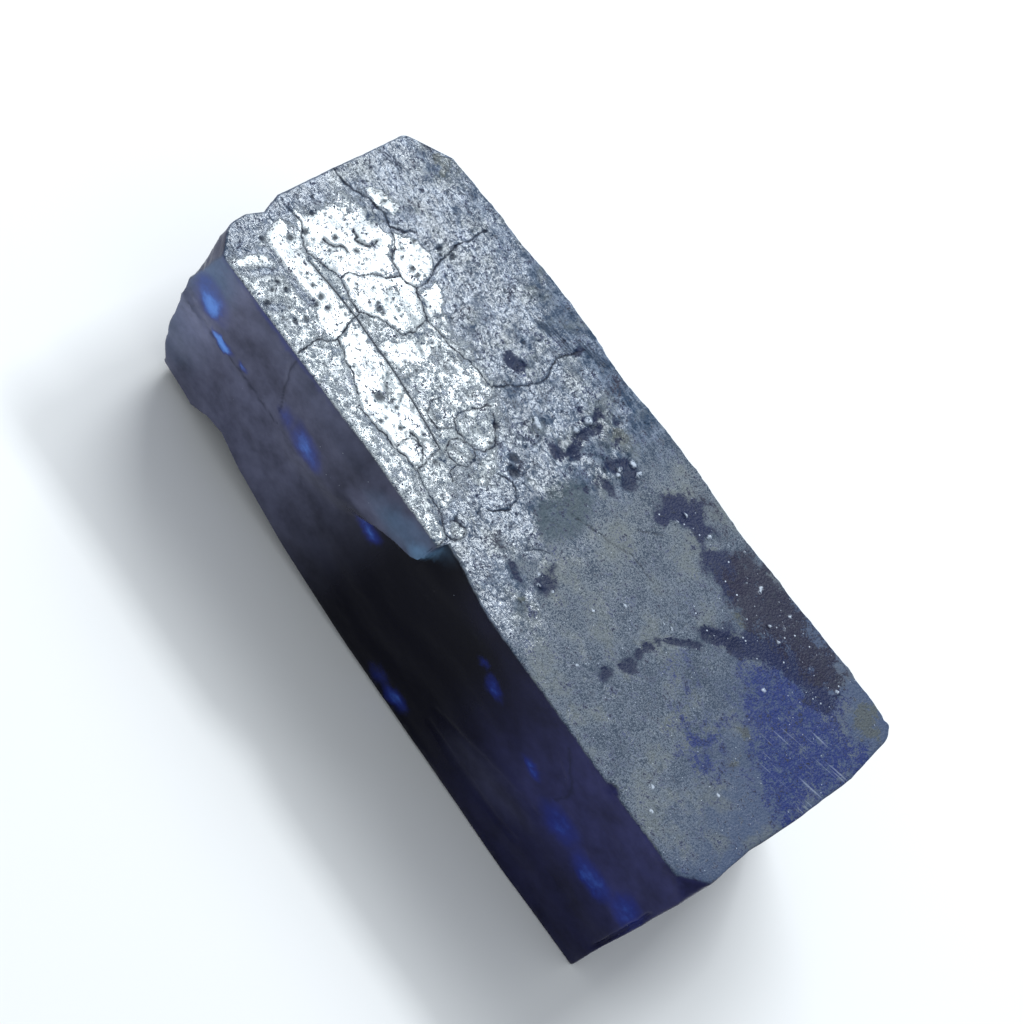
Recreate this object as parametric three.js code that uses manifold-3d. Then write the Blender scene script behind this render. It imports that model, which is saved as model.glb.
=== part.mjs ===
// Rough sapphire: one bar of dark blue crystal, sawn along its length and left as it came from the saw.
//
// Millimetres, +Z up. The bar lies on its flat base at Z = 0. +X runs along it towards the clean-cut end,
// -Y is the dark glassy side, and the crazed silvery skin is on top. The stone grew as one piece, so it is
// one solid: six rough faces that meet, and then what the saw and the breaks took away or left standing.

import * as THREE from 'three';
import { mergeVertices } from 'three/addons/utils/BufferGeometryUtils.js';
import Module from 'manifold-3d';

const { lerp, smoothstep } = THREE.MathUtils;

// The bar
const CUT_END = 40.3;
const BROKEN_END = -40.6;
const FRONT = -16.3;
const BACK = 15.6;
const HEIGHT_AT_CUT_END = 24.5;
const HEIGHT_AT_BROKEN_END = 22.8;
const REACH = 120;

// How finely each face is drawn, as the length of one step on it
const SKIN_STEP = 1.6;
const FRONT_STEP = 2.2;
const BACK_STEP = 3;
const END_STEP = 2.8;
const WAIST_STEP = 2;

// The thin tongue of skin along the front edge, which ends in a step, and the bevel that bulges below it
const TONGUE_TIP = -2.2;
const TONGUE_ROOT = -27;
const TONGUE_FULL = -15;
const TONGUE_RISE = 0.35;
const STEP_WIDTH = 0.6;
const BEVEL_TOP = 0.5;
const BEVEL_CREST = 5;
const BEVEL_FADES = 7;
const BEVEL_END = 16;
const BEVEL_PROUD = 0.8;

// The scallop broken out of the front edge just beyond the step
const SCALLOP_DEPTH = 1.5;
const SCALLOP_HEIGHT = 7;
const SCALLOP_END = 7;

// The smooth facet at the foot of the front face, below a line that runs in from the broken end
const FACET_LINE = 13.4;
const FACET_FADES = -30;
const FACET_END = -24;
const FACET_LEAN = 1.1;

// How uneven each face is: the rise of its swells and their length
const CRUST_SWELL = 0.22;
const FROST_SWELL = 0.07;
const SKIN_WAVE = 2.6;
const CRUST_FADES = -4;
const CRUST_END = 14;
const FRONT_SWELL = 0.1;
const FRONT_WAVE = 5;
const BACK_SWELL = 0.3;
const BACK_WAVE = 4;
const BACK_SLOPE = 0.05;
const BROKEN_SWELL = 0.2;
const BROKEN_WAVE = 3;
const CUT_SWELL = 0.12;
const CUT_WAVE = 4;

// Just under the top the ends stay as even as the edge that they share with the skin
const EVEN_RIM = 1;
const UNEVEN_BELOW = 6;

// Cracks, pits and lumps in the skin, and the grooves along the front face
const SEAM_WIDTH = 0.45;
const CRACK_WIDTH = 0.32;
const CRACK_DEPTH = 0.4;
const CRACK_TAPER = 5;
const PIT_DEPTH = 0.55;
const LUMP_RISE = 0.32;
const GROOVE_WIDTH = 0.7;
const GROOVE_DEPTH = 0.3;

// Small losses: a slot behind a thin flake at the cut end, and a nick in the front top edge
const FLAKE_SLOT = { top: 17.2, bottom: 5, width: 0.4, depth: 1, fromEnd: 1.3 };
const EDGE_NICK = { at: 27.2, length: 4.2, depth: 0.9 };

// Outlines, each as the few points that carry its shape, read along the first number of each point
const BACK_EDGE = [[-34, 14.4], [-18.6, 15.1], [2.9, 15.6], [13.4, 15.5], [20.6, 16.1], [36.7, 16.3]];
const CUT_EDGE = [[-16.3, 39.8], [-13.3, 40.1], [-7.2, 39.8], [-1.6, 40.3], [8.5, 40.6], [16.3, 39.6]];
const BROKEN_EDGE = [[-16.5, -40.5], [-13.9, -40.7], [-11.1, -40.6], [-9, -39.8], [-6.5, -40.5],
  [11.2, -38.9]];
const BROKEN_PROFILE = [[0, 6.6], [2.8, 6], [4.7, 4.6], [8.4, 3.4], [11.4, 2.6], [16.5, 1.5], [22.5, 0]];
const UNDERCUT_WIDTH = 0.6;
const UNDERCUT_RUN = 1.5;
const FOOT_EDGE = [[-40, 2.9], [-34.4, 2.7], [-29.2, 1.9], [-27, 3.6], [-24.4, 4.4], [-20.7, 3.2],
  [-12, 1.6], [0, 0.5], [28, 0]];

// Cracks, as points along and across the skin
const CRACKS = {
  seam: [[-40.2, -6.2], [-36.4, -6.8], [-32.4, -8.2], [-26.1, -7.7], [-18.1, -7.8], [-13.2, -8.3],
    [-10.6, -8.9]],
  beside_seam: [[-34.6, -7.6], [-32.6, -6.9], [-30.5, -6], [-28.8, -6.6], [-26.1, -7.5]],
  middle: [[-37.8, 1.2], [-33.9, 2.5], [-30.4, 1.7], [-29.2, 0], [-26.3, -0.2], [-24.9, 0.5], [-22.4, -0.7],
    [-18.3, -0.4], [-14.6, 0.6], [-12.5, 0.8], [-11.4, 3.3], [-10.5, 6.2], [-11.5, 10.1]],
  first_bridge: [[-30.5, -6], [-29.3, -4.2], [-27.7, -1.7], [-27.7, -0.2]],
  second_bridge: [[-26.1, -7.7], [-24.6, -5.5], [-21.8, -4.1], [-21.9, -0.8]],
  towards_back: [[-24.8, 0.5], [-26.3, 4.2]],
  towards_front: [[-26.1, -8], [-25.3, -11], [-26.4, -14.9]],
  tongue: [[-25.3, -11], [-21.8, -12.1], [-17.3, -13.8], [-11.8, -13.1], [-9.7, -12.7], [-4.9, -13.7],
    [-2.6, -14.8]],
};
const WIDE_CRACKS = ['seam', 'tongue'];

// Pits, as the place and the radius of each
const PITS = [[-18.2, -11.1, 0.9], [-17, -10.1, 0.5], [-16.1, -10.4, 0.45], [-33.3, -4.7, 0.7],
  [-25.5, -4.8, 0.7], [-29.7, -9.9, 0.5], [-37, -8.6, 0.8], [-34, -13, 0.5], [-31.5, -12.6, 0.6],
  [-28.6, -13.6, 0.7]];

// Lumps of crust and swollen cells, as the place and the radius of each
const LUMPS = [[-10, -4, 2.1], [-9.2, -7.1, 1.4], [-6.9, 2.6, 1.8], [-4.6, -1.4, 1.3], [-3.4, -5.6, 1.5],
  [-6, -9.9, 1.4], [-5.5, 6.4, 1.7], [-2.6, 8.6, 1.5], [0.6, 9.2, 1.6], [2.7, 11.4, 1.3], [-1.9, 11.9, 1.2],
  [-8.6, 10.4, 1.5], [1.2, 6, 1.2], [-14.2, 7.6, 1.6], [-20.6, 5.2, 1.8], [-33.9, 7.4, 2]];

// The row of dark beads that curves across the frosted half
const BEADS = [[16.9, -9.3], [17.7, -6.3], [17.5, -3.2], [18, 0], [20.7, 3.3], [21.5, 5.7]];
const BEAD_SPACING = 1.8;
const BEAD_RADIUS = 0.7;

// Grooves along the front face, as points along and up it
const FRONT_GROOVES = [
  [[10.5, 6.8], [15, 8.3], [19.6, 9.6], [25.2, 11.1]],
  [[11, 5], [16, 4.7], [21, 4.6], [26, 5.3]],
];

// Reads a line drawn through hand-placed points at one place along it.
function readLine(points, place) {
  const next = points.findIndex(([start]) => start > place);
  if (next === 0) return points[0][1];
  if (next < 0) return points.at(-1)[1];
  const [start, from] = points[next - 1];
  const [end, to] = points[next];
  return lerp(from, to, (place - start) / (end - start));
}

// The uneven surface that a saw and a crust leave, within 1 either way: long swells crossed by short ones.
function unevenness(a, b, wave) {
  const long = Math.sin(a / wave + 0.7 * Math.sin(b / wave));
  const short = Math.sin(2.3 * b / wave + 1.1 * Math.cos(1.7 * a / wave));
  return 0.6 * long + 0.4 * short;
}

// How far along the bar a place is, from 0 at the broken end to 1 at the cut end.
function alongBar(x) {
  return (x - BROKEN_END) / (CUT_END - BROKEN_END);
}

// How much of the raised tongue a place on the skin belongs to, from 0 to 1.
function tongueShare(x, y) {
  const inner = readLine(CRACKS.tongue, x);
  const inside = 1 - smoothstep(y, inner - STEP_WIDTH, inner);
  const started = smoothstep(x, TONGUE_ROOT, TONGUE_FULL);
  return inside * started * (1 - smoothstep(x, TONGUE_TIP - STEP_WIDTH, TONGUE_TIP));
}

// The top: it falls a little towards the broken end, is swollen there, and is smooth near the cut end.
function skinHeight(x, y) {
  const level = lerp(HEIGHT_AT_BROKEN_END, HEIGHT_AT_CUT_END, alongBar(x));
  const crusted = 1 - smoothstep(x, CRUST_FADES, CRUST_END);
  const swell = lerp(FROST_SWELL, CRUST_SWELL, crusted) * unevenness(x, y, SKIN_WAVE);
  return level + swell + TONGUE_RISE * tongueShare(x, y);
}

// The front: the far part stands proud under the tongue, and a scallop is broken out beyond the step.
function frontFace(x, z) {
  const below = HEIGHT_AT_CUT_END - z;
  const beforeStep = 1 - smoothstep(x, TONGUE_TIP - STEP_WIDTH, TONGUE_TIP);
  const bevel = smoothstep(below, BEVEL_TOP, BEVEL_CREST) * (1 - smoothstep(below, BEVEL_FADES, BEVEL_END));
  const proud = BEVEL_PROUD * bevel * smoothstep(x, TONGUE_ROOT, TONGUE_FULL) * beforeStep;
  const beyondStep = (1 - beforeStep) * (1 - smoothstep(x, TONGUE_TIP, SCALLOP_END));
  const scallop = SCALLOP_DEPTH * beyondStep * (1 - smoothstep(below, 0, SCALLOP_HEIGHT));
  const facet = FACET_LEAN * Math.max(0, 1 - z / FACET_LINE) * (1 - smoothstep(x, FACET_FADES, FACET_END));
  const swell = FRONT_SWELL * unevenness(x, 2.5 * z, FRONT_WAVE);
  return FRONT - proud + scallop + facet + swell;
}

function belowRim(z) {
  return smoothstep(HEIGHT_AT_CUT_END - z, EVEN_RIM, UNEVEN_BELOW);
}

function backFace(x, z) {
  const slope = BACK_SLOPE * (HEIGHT_AT_CUT_END - z);
  return readLine(BACK_EDGE, x) - slope + BACK_SWELL * unevenness(x, z, BACK_WAVE);
}

// The broken end: it runs in under the top and has a nick where the seam reaches it.
function brokenFace(y, z) {
  const swell = BROKEN_SWELL * unevenness(y, z, BROKEN_WAVE) * belowRim(z);
  return readLine(BROKEN_EDGE, y) + readLine(BROKEN_PROFILE, z) + swell;
}

function cutFace(y, z) {
  return readLine(CUT_EDGE, y) + CUT_SWELL * unevenness(y, z, CUT_WAVE) * belowRim(z);
}

// The underside of the front edge: it lifts into a hollow waist behind a rounded foot at the broken end, and
// runs down to the flat base a little way in.
function waistHeight(x, y) {
  const lift = readLine(FOOT_EDGE, x);
  const width = UNDERCUT_WIDTH + UNDERCUT_RUN * lift;
  return lift * (1 - (y - FRONT) / width);
}

const wasm = await Module();
wasm.setup();

function toSolid(geometry) {
  const bare = geometry.index ? geometry.clone() : geometry;
  bare.deleteAttribute('normal');
  bare.deleteAttribute('uv');
  const merged = mergeVertices(bare, 1e-4);
  const mesh = new wasm.Mesh({
    numProp: 3,
    vertProperties: new Float32Array(merged.attributes.position.array),
    triVerts: new Uint32Array(merged.index.array),
  });
  return new wasm.Manifold(mesh);
}

// A deep block whose outer face is a grid of steps. place(a, b) puts a point of that face in the bar, and
// inward points from the face through the bar, so that only this one face of the block shows.
function roughSlab({ width, height, step, place, inward }) {
  const geometry = new THREE.BoxGeometry(
    width, height, 2, Math.round(width / step), Math.round(height / step), 1,
  );
  const position = geometry.attributes.position;
  const point = new THREE.Vector3();
  for (let i = 0; i < position.count; i += 1) {
    point.fromBufferAttribute(position, i);
    const outer = point.z > 0;
    const placed = place(point.x, point.y);
    if (!outer) placed.addScaledVector(inward, REACH);
    position.setXYZ(i, placed.x, placed.y, placed.z);
  }
  return toSolid(geometry);
}

const LENGTH = CUT_END - BROKEN_END;
const WIDTH = BACK - FRONT;
const MID_HEIGHT = HEIGHT_AT_CUT_END / 2;
const OVERLAP = 8;
const CLEAR_OF_FACE = 2;

function flatBase() {
  const geometry = new THREE.BoxGeometry(REACH, REACH, REACH);
  geometry.translate(0, 0, REACH / 2);
  return toSolid(geometry);
}

function sixFaces() {
  const top = roughSlab({
    width: LENGTH + OVERLAP,
    height: WIDTH + OVERLAP,
    step: SKIN_STEP,
    place: (a, b) => new THREE.Vector3(a, b, skinHeight(a, b)),
    inward: new THREE.Vector3(0, 0, -1),
  });
  const front = roughSlab({
    width: LENGTH + OVERLAP,
    height: HEIGHT_AT_CUT_END + OVERLAP,
    step: FRONT_STEP,
    place: (a, b) => new THREE.Vector3(a, frontFace(a, b + MID_HEIGHT), b + MID_HEIGHT),
    inward: new THREE.Vector3(0, 1, 0),
  });
  const back = roughSlab({
    width: LENGTH + OVERLAP,
    height: HEIGHT_AT_CUT_END + OVERLAP,
    step: BACK_STEP,
    place: (a, b) => new THREE.Vector3(-a, backFace(-a, b + MID_HEIGHT), b + MID_HEIGHT),
    inward: new THREE.Vector3(0, -1, 0),
  });
  const cut = roughSlab({
    width: WIDTH + OVERLAP,
    height: HEIGHT_AT_CUT_END + OVERLAP,
    step: END_STEP,
    place: (a, b) => new THREE.Vector3(cutFace(a, b + MID_HEIGHT), a, b + MID_HEIGHT),
    inward: new THREE.Vector3(-1, 0, 0),
  });
  const broken = roughSlab({
    width: WIDTH + OVERLAP,
    height: HEIGHT_AT_CUT_END + OVERLAP,
    step: END_STEP,
    place: (a, b) => new THREE.Vector3(brokenFace(-a, b + MID_HEIGHT), -a, b + MID_HEIGHT),
    inward: new THREE.Vector3(1, 0, 0),
  });
  return [top, flatBase(), front, back, cut, broken].reduce((stone, face) => stone.intersect(face));
}

// What is missing under the front edge, from clear of it to where the base is flat again.
function waist() {
  const depth = 14;
  const middle = FRONT + 4;
  return roughSlab({
    width: LENGTH + OVERLAP,
    height: depth,
    step: WAIST_STEP,
    place: (a, b) => new THREE.Vector3(a, middle + b, waistHeight(a, middle + b)),
    inward: new THREE.Vector3(0, 0, -1),
  });
}

// A block big enough to take a corner off, with its lower face through a point and square to a direction.
function cornerBlock(through, outward) {
  const geometry = new THREE.BoxGeometry(REACH, REACH, REACH);
  geometry.translate(0, 0, REACH / 2);
  const up = new THREE.Vector3(0, 0, 1);
  const turn = new THREE.Quaternion().setFromUnitVectors(up, outward.clone().normalize());
  geometry.applyQuaternion(turn);
  geometry.translate(through.x, through.y, through.z);
  return toSolid(geometry);
}

// Corners that broke away: the far back corner, the sharp far front one and small chips at the cut end.
const BROKEN_CORNERS = [
  { through: [-36.5, 12.9, 12], outward: [-1, 1.45, 0.05] },
  { through: [-40.1, -15.4, 12], outward: [-1, -0.9, 0.1] },
  { through: [39.5, -15.2, 24.2], outward: [1, -0.75, 1.5] },
  { through: [40, 15.6, 20], outward: [1, 1, 0.1] },
  { through: [40, 10, 0.8], outward: [1, 0.1, -1.3] },
  { through: [0, 14.6, 0.9], outward: [0.03, 1, -1.2] },
];

// A crack or groove seen from above: a line of points widened to a long leaf that tapers to both ends.
function leafOutline(points, width) {
  const line = new THREE.SplineCurve(points.map(([x, y]) => new THREE.Vector2(x, y)));
  const count = points.length * 2;
  const one = [];
  const other = [];
  for (let i = 0; i <= count; i += 1) {
    const share = i / count;
    const centre = line.getPoint(share);
    const direction = line.getTangent(share);
    const fullness = Math.min(1, 0.15 + CRACK_TAPER * Math.min(share, 1 - share));
    const half = 0.5 * width * fullness;
    one.push(new THREE.Vector2(centre.x - direction.y * half, centre.y + direction.x * half));
    other.unshift(new THREE.Vector2(centre.x + direction.y * half, centre.y - direction.x * half));
  }
  return new THREE.Shape([...one, ...other]);
}

function skinCrack(points, width) {
  const geometry = new THREE.ExtrudeGeometry(leafOutline(points, width), {
    depth: CLEAR_OF_FACE + CRACK_DEPTH, bevelEnabled: false,
  });
  const position = geometry.attributes.position;
  for (let i = 0; i < position.count; i += 1) {
    const x = position.getX(i);
    const y = position.getY(i);
    position.setZ(i, position.getZ(i) + skinHeight(x, y) - CRACK_DEPTH);
  }
  return toSolid(geometry);
}

// A low rounded form set in the skin: a pit when it is cut away and a lump when it is joined.
function blister([x, y, radius], rise) {
  const geometry = new THREE.SphereGeometry(1, 7, 4);
  geometry.rotateX(Math.PI / 2);
  geometry.scale(radius * 1.2, radius * 0.8, rise);
  geometry.rotateZ(3 * x + y);
  geometry.translate(x, y, skinHeight(x, y));
  return toSolid(geometry);
}

// A groove cut into the front face along a leaf-shaped outline.
function frontGroove(points) {
  const geometry = new THREE.ExtrudeGeometry(leafOutline(points, GROOVE_WIDTH), {
    depth: CLEAR_OF_FACE + GROOVE_DEPTH, bevelEnabled: false,
  });
  geometry.rotateX(Math.PI / 2);
  geometry.translate(0, FRONT + GROOVE_DEPTH, 0);
  return toSolid(geometry);
}

function beadRow() {
  const line = new THREE.SplineCurve(BEADS.map(([x, y]) => new THREE.Vector2(x, y)));
  const count = Math.round(line.getLength() / BEAD_SPACING);
  return line.getSpacedPoints(count).map(({ x, y }) => blister([x, y, BEAD_RADIUS], BEAD_RADIUS * 0.6));
}

// A slot parallel to the cut end, low on the front face, with a thin flake left standing outside it.
function flakeSlot() {
  const { top, bottom, width, depth, fromEnd } = FLAKE_SLOT;
  const geometry = new THREE.BoxGeometry(width, 2 * depth, top - bottom);
  geometry.translate(CUT_END - fromEnd, FRONT, (top + bottom) / 2);
  return toSolid(geometry);
}

// A shallow nick out of the front top edge.
function edgeNick() {
  const { at, length, depth } = EDGE_NICK;
  const geometry = new THREE.SphereGeometry(1, 8, 6);
  geometry.scale(length / 2, depth, depth);
  geometry.translate(at, FRONT, skinHeight(at, FRONT));
  return toSolid(geometry);
}

function roughSapphire() {
  let stone = sixFaces().subtract(waist());
  for (const { through, outward } of BROKEN_CORNERS) {
    stone = stone.subtract(cornerBlock(new THREE.Vector3(...through), new THREE.Vector3(...outward)));
  }
  for (const lump of LUMPS) stone = stone.add(blister(lump, LUMP_RISE));
  for (const pit of PITS) stone = stone.subtract(blister(pit, PIT_DEPTH));
  for (const bead of beadRow()) stone = stone.subtract(bead);
  for (const [name, points] of Object.entries(CRACKS)) {
    const width = WIDE_CRACKS.includes(name) ? SEAM_WIDTH : CRACK_WIDTH;
    stone = stone.subtract(skinCrack(points, width));
  }
  for (const groove of FRONT_GROOVES) stone = stone.subtract(frontGroove(groove));
  stone = stone.subtract(flakeSlot());
  return stone.subtract(edgeNick());
}

// The finished solid as a mesh, moved so that the middle of its base is the origin.
function toMesh(name, solid, material) {
  const { vertProperties, triVerts } = solid.getMesh();
  const geometry = new THREE.BufferGeometry();
  geometry.setAttribute('position', new THREE.BufferAttribute(new Float32Array(vertProperties), 3));
  geometry.setIndex(new THREE.BufferAttribute(new Uint32Array(triVerts), 1));
  geometry.computeBoundingBox();
  const { min, max } = geometry.boundingBox;
  geometry.translate(-(min.x + max.x) / 2, -(min.y + max.y) / 2, -min.z);
  geometry.computeVertexNormals();
  const mesh = new THREE.Mesh(geometry, material);
  mesh.name = name;
  return mesh;
}

const sapphire = new THREE.MeshStandardMaterial({
  name: 'dark_blue_crystal', color: '#2b3350', roughness: 0.35, metalness: 0,
});

const model = new THREE.Group();
model.add(toMesh('rough_sapphire', roughSapphire(), sapphire));

export default model;
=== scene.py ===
"""The look of the rough sapphire: one sawn bar of dark blue crystal with a crazed silvery skin on top."""

import math

import bpy
import numpy as np
from mathutils import Matrix, Vector


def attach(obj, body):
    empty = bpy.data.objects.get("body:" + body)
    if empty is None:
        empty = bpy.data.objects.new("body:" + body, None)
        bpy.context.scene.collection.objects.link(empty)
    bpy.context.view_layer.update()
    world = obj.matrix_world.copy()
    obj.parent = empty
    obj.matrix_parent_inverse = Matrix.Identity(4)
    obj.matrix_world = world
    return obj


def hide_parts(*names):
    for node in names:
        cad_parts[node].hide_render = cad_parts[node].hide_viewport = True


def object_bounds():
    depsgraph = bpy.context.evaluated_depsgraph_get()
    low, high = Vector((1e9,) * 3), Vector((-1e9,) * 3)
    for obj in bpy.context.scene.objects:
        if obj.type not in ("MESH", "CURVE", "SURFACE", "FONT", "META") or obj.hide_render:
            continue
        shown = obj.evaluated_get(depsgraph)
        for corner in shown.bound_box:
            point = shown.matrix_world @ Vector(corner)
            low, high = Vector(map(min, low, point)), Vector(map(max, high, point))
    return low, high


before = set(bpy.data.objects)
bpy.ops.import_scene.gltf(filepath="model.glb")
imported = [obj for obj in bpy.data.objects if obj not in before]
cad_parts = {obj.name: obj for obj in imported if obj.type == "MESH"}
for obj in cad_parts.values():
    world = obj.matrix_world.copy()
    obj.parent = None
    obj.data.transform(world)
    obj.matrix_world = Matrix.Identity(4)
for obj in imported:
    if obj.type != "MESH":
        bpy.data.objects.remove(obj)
cad_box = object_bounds()

# The bar. A natural crystal of corundum, grown as one piece, sawn along its length and broken off at the far
# end. Its six rough faces are drawn here as in the solid, in millimetres, with +X towards the clean-cut end,
# -Y towards the dark glassy side and the skin on top.
MM = 0.001
CUT_END = 40.3
BROKEN_END = -40.6
FRONT = -16.3
BACK = 15.6
HEIGHT_AT_CUT_END = 24.5
HEIGHT_AT_BROKEN_END = 22.8

TONGUE_TIP = -2.2
TONGUE_ROOT = -27
TONGUE_FULL = -15
TONGUE_RISE = 0.35
STEP_WIDTH = 0.6
BEVEL_TOP = 0.5
BEVEL_CREST = 4.2
BEVEL_PROUD = 0.8
BEVEL_FOOT = [(-27, 15), (-13, 17), (-8.4, 18), (-5.5, 19.6), (-3.5, 20.3), (-2.2, 21.4)]
BEVEL_FADE = [(-27, 8), (-13, 5), (-8, 1), (-2, 0.8)]
SCALLOP_DEPTH = 1.5
SCALLOP_HEIGHT = 7
SCALLOP_END = 7
FACET_LINE = 13.4
FACET_FADES = -30
FACET_END = -24
FACET_LEAN = 1.1

CRUST_SWELL = 0.08
FROST_SWELL = 0.05
SKIN_WAVE = 2.6
CRUST_FADES = -4
CRUST_END = 14
FRONT_SWELL = 0.1
FRONT_WAVE = 5
BACK_SWELL = 0.3
BACK_WAVE = 4
BACK_SLOPE = 0.05
BROKEN_SWELL = 0.2
BROKEN_WAVE = 3
CUT_SWELL = 0.12
CUT_WAVE = 4
EVEN_RIM = 1
UNEVEN_BELOW = 6

BACK_EDGE = [(-34, 14.4), (-18.6, 15.1), (2.9, 15.6), (13.4, 15.5), (20.6, 16.1), (36.7, 16.3)]
CUT_EDGE = [(-16.3, 39.8), (-13.3, 40.1), (-7.2, 39.8), (-1.6, 40.3), (8.5, 40.6), (16.3, 39.6)]
BROKEN_EDGE = [(-16.5, -40.5), (-13.9, -40.7), (-11.1, -40.6), (-9, -39.8), (-6.5, -40.5), (11.2, -38.9)]
BROKEN_PROFILE = [(0, 6.6), (2.8, 6), (4.7, 4.6), (8.4, 3.4), (11.4, 2.6), (16.5, 1.5), (22.5, 0)]
UNDERCUT_WIDTH = 0.6
UNDERCUT_RUN = 1.5
FOOT_EDGE = [(-40, 2.9), (-34.4, 2.7), (-29.2, 1.9), (-27, 3.6), (-24.4, 4.4), (-20.7, 3.2), (-12, 1.6),
             (0, 0.5), (28, 0)]
TONGUE_LINE = [(-25.3, -11), (-21.8, -12.1), (-17.3, -13.8), (-11.8, -13.1), (-9.7, -12.7), (-4.9, -13.7),
               (-2.6, -14.8)]

# Corners that broke away, each as a place on the new face and the way that face looks
FAR_CORNERS = [((-36.5, 12.9, 12), (-1, 1.45, 0.05)), ((-40.1, -15.4, 12), (-1, -0.9, 0.1))]
NEAR_CORNERS = [((40, 15.6, 20), (1, 1, 0.1))]
CHIPS = [
    ((38.4, -15.2, 24.4), (1, -1, 1.1)),
    ((40, 10, 0.8), (1, 0.1, -1.3)),
    ((0, 14.6, 0.9), (0.03, 1, -1.2)),
]
CORNER_SOFTNESS = 0.25


def read_line(points, place):
    along, across = zip(*points)
    return np.interp(place, along, across)


def smoothstep(value, low, high):
    share = np.clip((value - low) / (high - low), 0, 1)
    return share * share * (3 - 2 * share)


def unevenness(a, b, wave):
    """Gentle swells of two lengths, within 1 either way, the same as on the solid."""
    long_swell = np.sin(a / wave + 0.7 * np.sin(b / wave))
    short_swell = np.sin(2.3 * b / wave + 1.1 * np.cos(1.7 * a / wave))
    return 0.6 * long_swell + 0.4 * short_swell


def tongue_share(x, y):
    inner = read_line(TONGUE_LINE, x)
    inside = 1 - smoothstep(y, inner - STEP_WIDTH, inner)
    started = smoothstep(x, TONGUE_ROOT, TONGUE_FULL)
    return inside * started * (1 - smoothstep(x, TONGUE_TIP - STEP_WIDTH, TONGUE_TIP))


def skin_height(x, y):
    along_bar = (x - BROKEN_END) / (CUT_END - BROKEN_END)
    level = HEIGHT_AT_BROKEN_END + (HEIGHT_AT_CUT_END - HEIGHT_AT_BROKEN_END) * along_bar
    crusted = 1 - smoothstep(x, CRUST_FADES, CRUST_END)
    swell = FROST_SWELL + (CRUST_SWELL - FROST_SWELL) * crusted
    return level + swell * unevenness(x, y, SKIN_WAVE) + TONGUE_RISE * tongue_share(x, y)


def front_face(x, z):
    below = HEIGHT_AT_CUT_END - z
    before_step = 1 - smoothstep(x, TONGUE_TIP - STEP_WIDTH, TONGUE_TIP)
    foot = read_line(BEVEL_FOOT, x)
    bevel = smoothstep(below, BEVEL_TOP, BEVEL_CREST) * smoothstep(z, foot - read_line(BEVEL_FADE, x), foot)
    proud = BEVEL_PROUD * bevel * smoothstep(x, TONGUE_ROOT, TONGUE_FULL) * before_step
    beyond_step = (1 - before_step) * (1 - smoothstep(x, TONGUE_TIP, SCALLOP_END))
    scallop = SCALLOP_DEPTH * beyond_step * (1 - smoothstep(below, 0, SCALLOP_HEIGHT))
    facet = FACET_LEAN * np.maximum(0, 1 - z / FACET_LINE) * (1 - smoothstep(x, FACET_FADES, FACET_END))
    return FRONT - proud + scallop + facet + FRONT_SWELL * unevenness(x, 2.5 * z, FRONT_WAVE)


def below_rim(z):
    return smoothstep(HEIGHT_AT_CUT_END - z, EVEN_RIM, UNEVEN_BELOW)


def back_face(x, z):
    slope = BACK_SLOPE * (HEIGHT_AT_CUT_END - z)
    return read_line(BACK_EDGE, x) - slope + BACK_SWELL * unevenness(x, z, BACK_WAVE)


def corner_face(corner, y, z):
    """How far along the bar the face of a broken corner lies."""
    (through_x, through_y, through_z), (along, across, up) = corner
    return through_x - (across * (y - through_y) + up * (z - through_z)) / along


def softly_larger(first, second):
    return CORNER_SOFTNESS * np.logaddexp(first / CORNER_SOFTNESS, second / CORNER_SOFTNESS)


def broken_face(y, z):
    swell = BROKEN_SWELL * unevenness(y, z, BROKEN_WAVE) * below_rim(z)
    face = read_line(BROKEN_EDGE, y) + read_line(BROKEN_PROFILE, z) + swell
    for corner in FAR_CORNERS:
        face = softly_larger(face, corner_face(corner, y, z))
    return face


def cut_face(y, z):
    face = read_line(CUT_EDGE, y) + CUT_SWELL * unevenness(y, z, CUT_WAVE) * below_rim(z)
    for corner in NEAR_CORNERS:
        face = -softly_larger(-face, -corner_face(corner, y, z))
    return face


def underside(x, y):
    lift = read_line(FOOT_EDGE, x)
    width = UNDERCUT_WIDTH + UNDERCUT_RUN * lift
    return np.maximum(0, lift * (1 - (y - FRONT) / width))


# The bar starts as a plain block of fine squares with softly worn edges. The crusted half of the skin has
# the finest squares, because its cracks and pits are only a few tenths of a millimetre wide.
CRUST_PITCH = 0.11
FROST_PITCH = 0.2
ACROSS_PITCH = 0.11
UPPER_PITCH = 0.25
LOWER_PITCH = 0.45
UPPER_BAND = 19
CRUST_LIMIT = 5
EDGE_ROUND = 0.28
EDGE_ROWS = 4


def spread(stops, pitches):
    """Places from the first stop to the last, a chosen pitch apart between each two stops."""
    places = [np.array(stops[:1], dtype=float)]
    for start, end, pitch in zip(stops, stops[1:], pitches):
        count = max(1, round((end - start) / pitch))
        places.append(np.linspace(start, end, count + 1)[1:])
    return np.concatenate(places)


edge_pitch = EDGE_ROUND / EDGE_ROWS
stations = [
    spread([BROKEN_END, BROKEN_END + EDGE_ROUND, CRUST_LIMIT, CUT_END - EDGE_ROUND, CUT_END],
           [edge_pitch, CRUST_PITCH, FROST_PITCH, edge_pitch]),
    spread([FRONT, FRONT + EDGE_ROUND, BACK - EDGE_ROUND, BACK],
           [edge_pitch, ACROSS_PITCH, edge_pitch]),
    spread([0, EDGE_ROUND, UPPER_BAND, HEIGHT_AT_CUT_END - EDGE_ROUND, HEIGHT_AT_CUT_END],
           [edge_pitch, LOWER_PITCH, UPPER_PITCH, edge_pitch]),
]
counts = [len(places) for places in stations]


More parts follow.
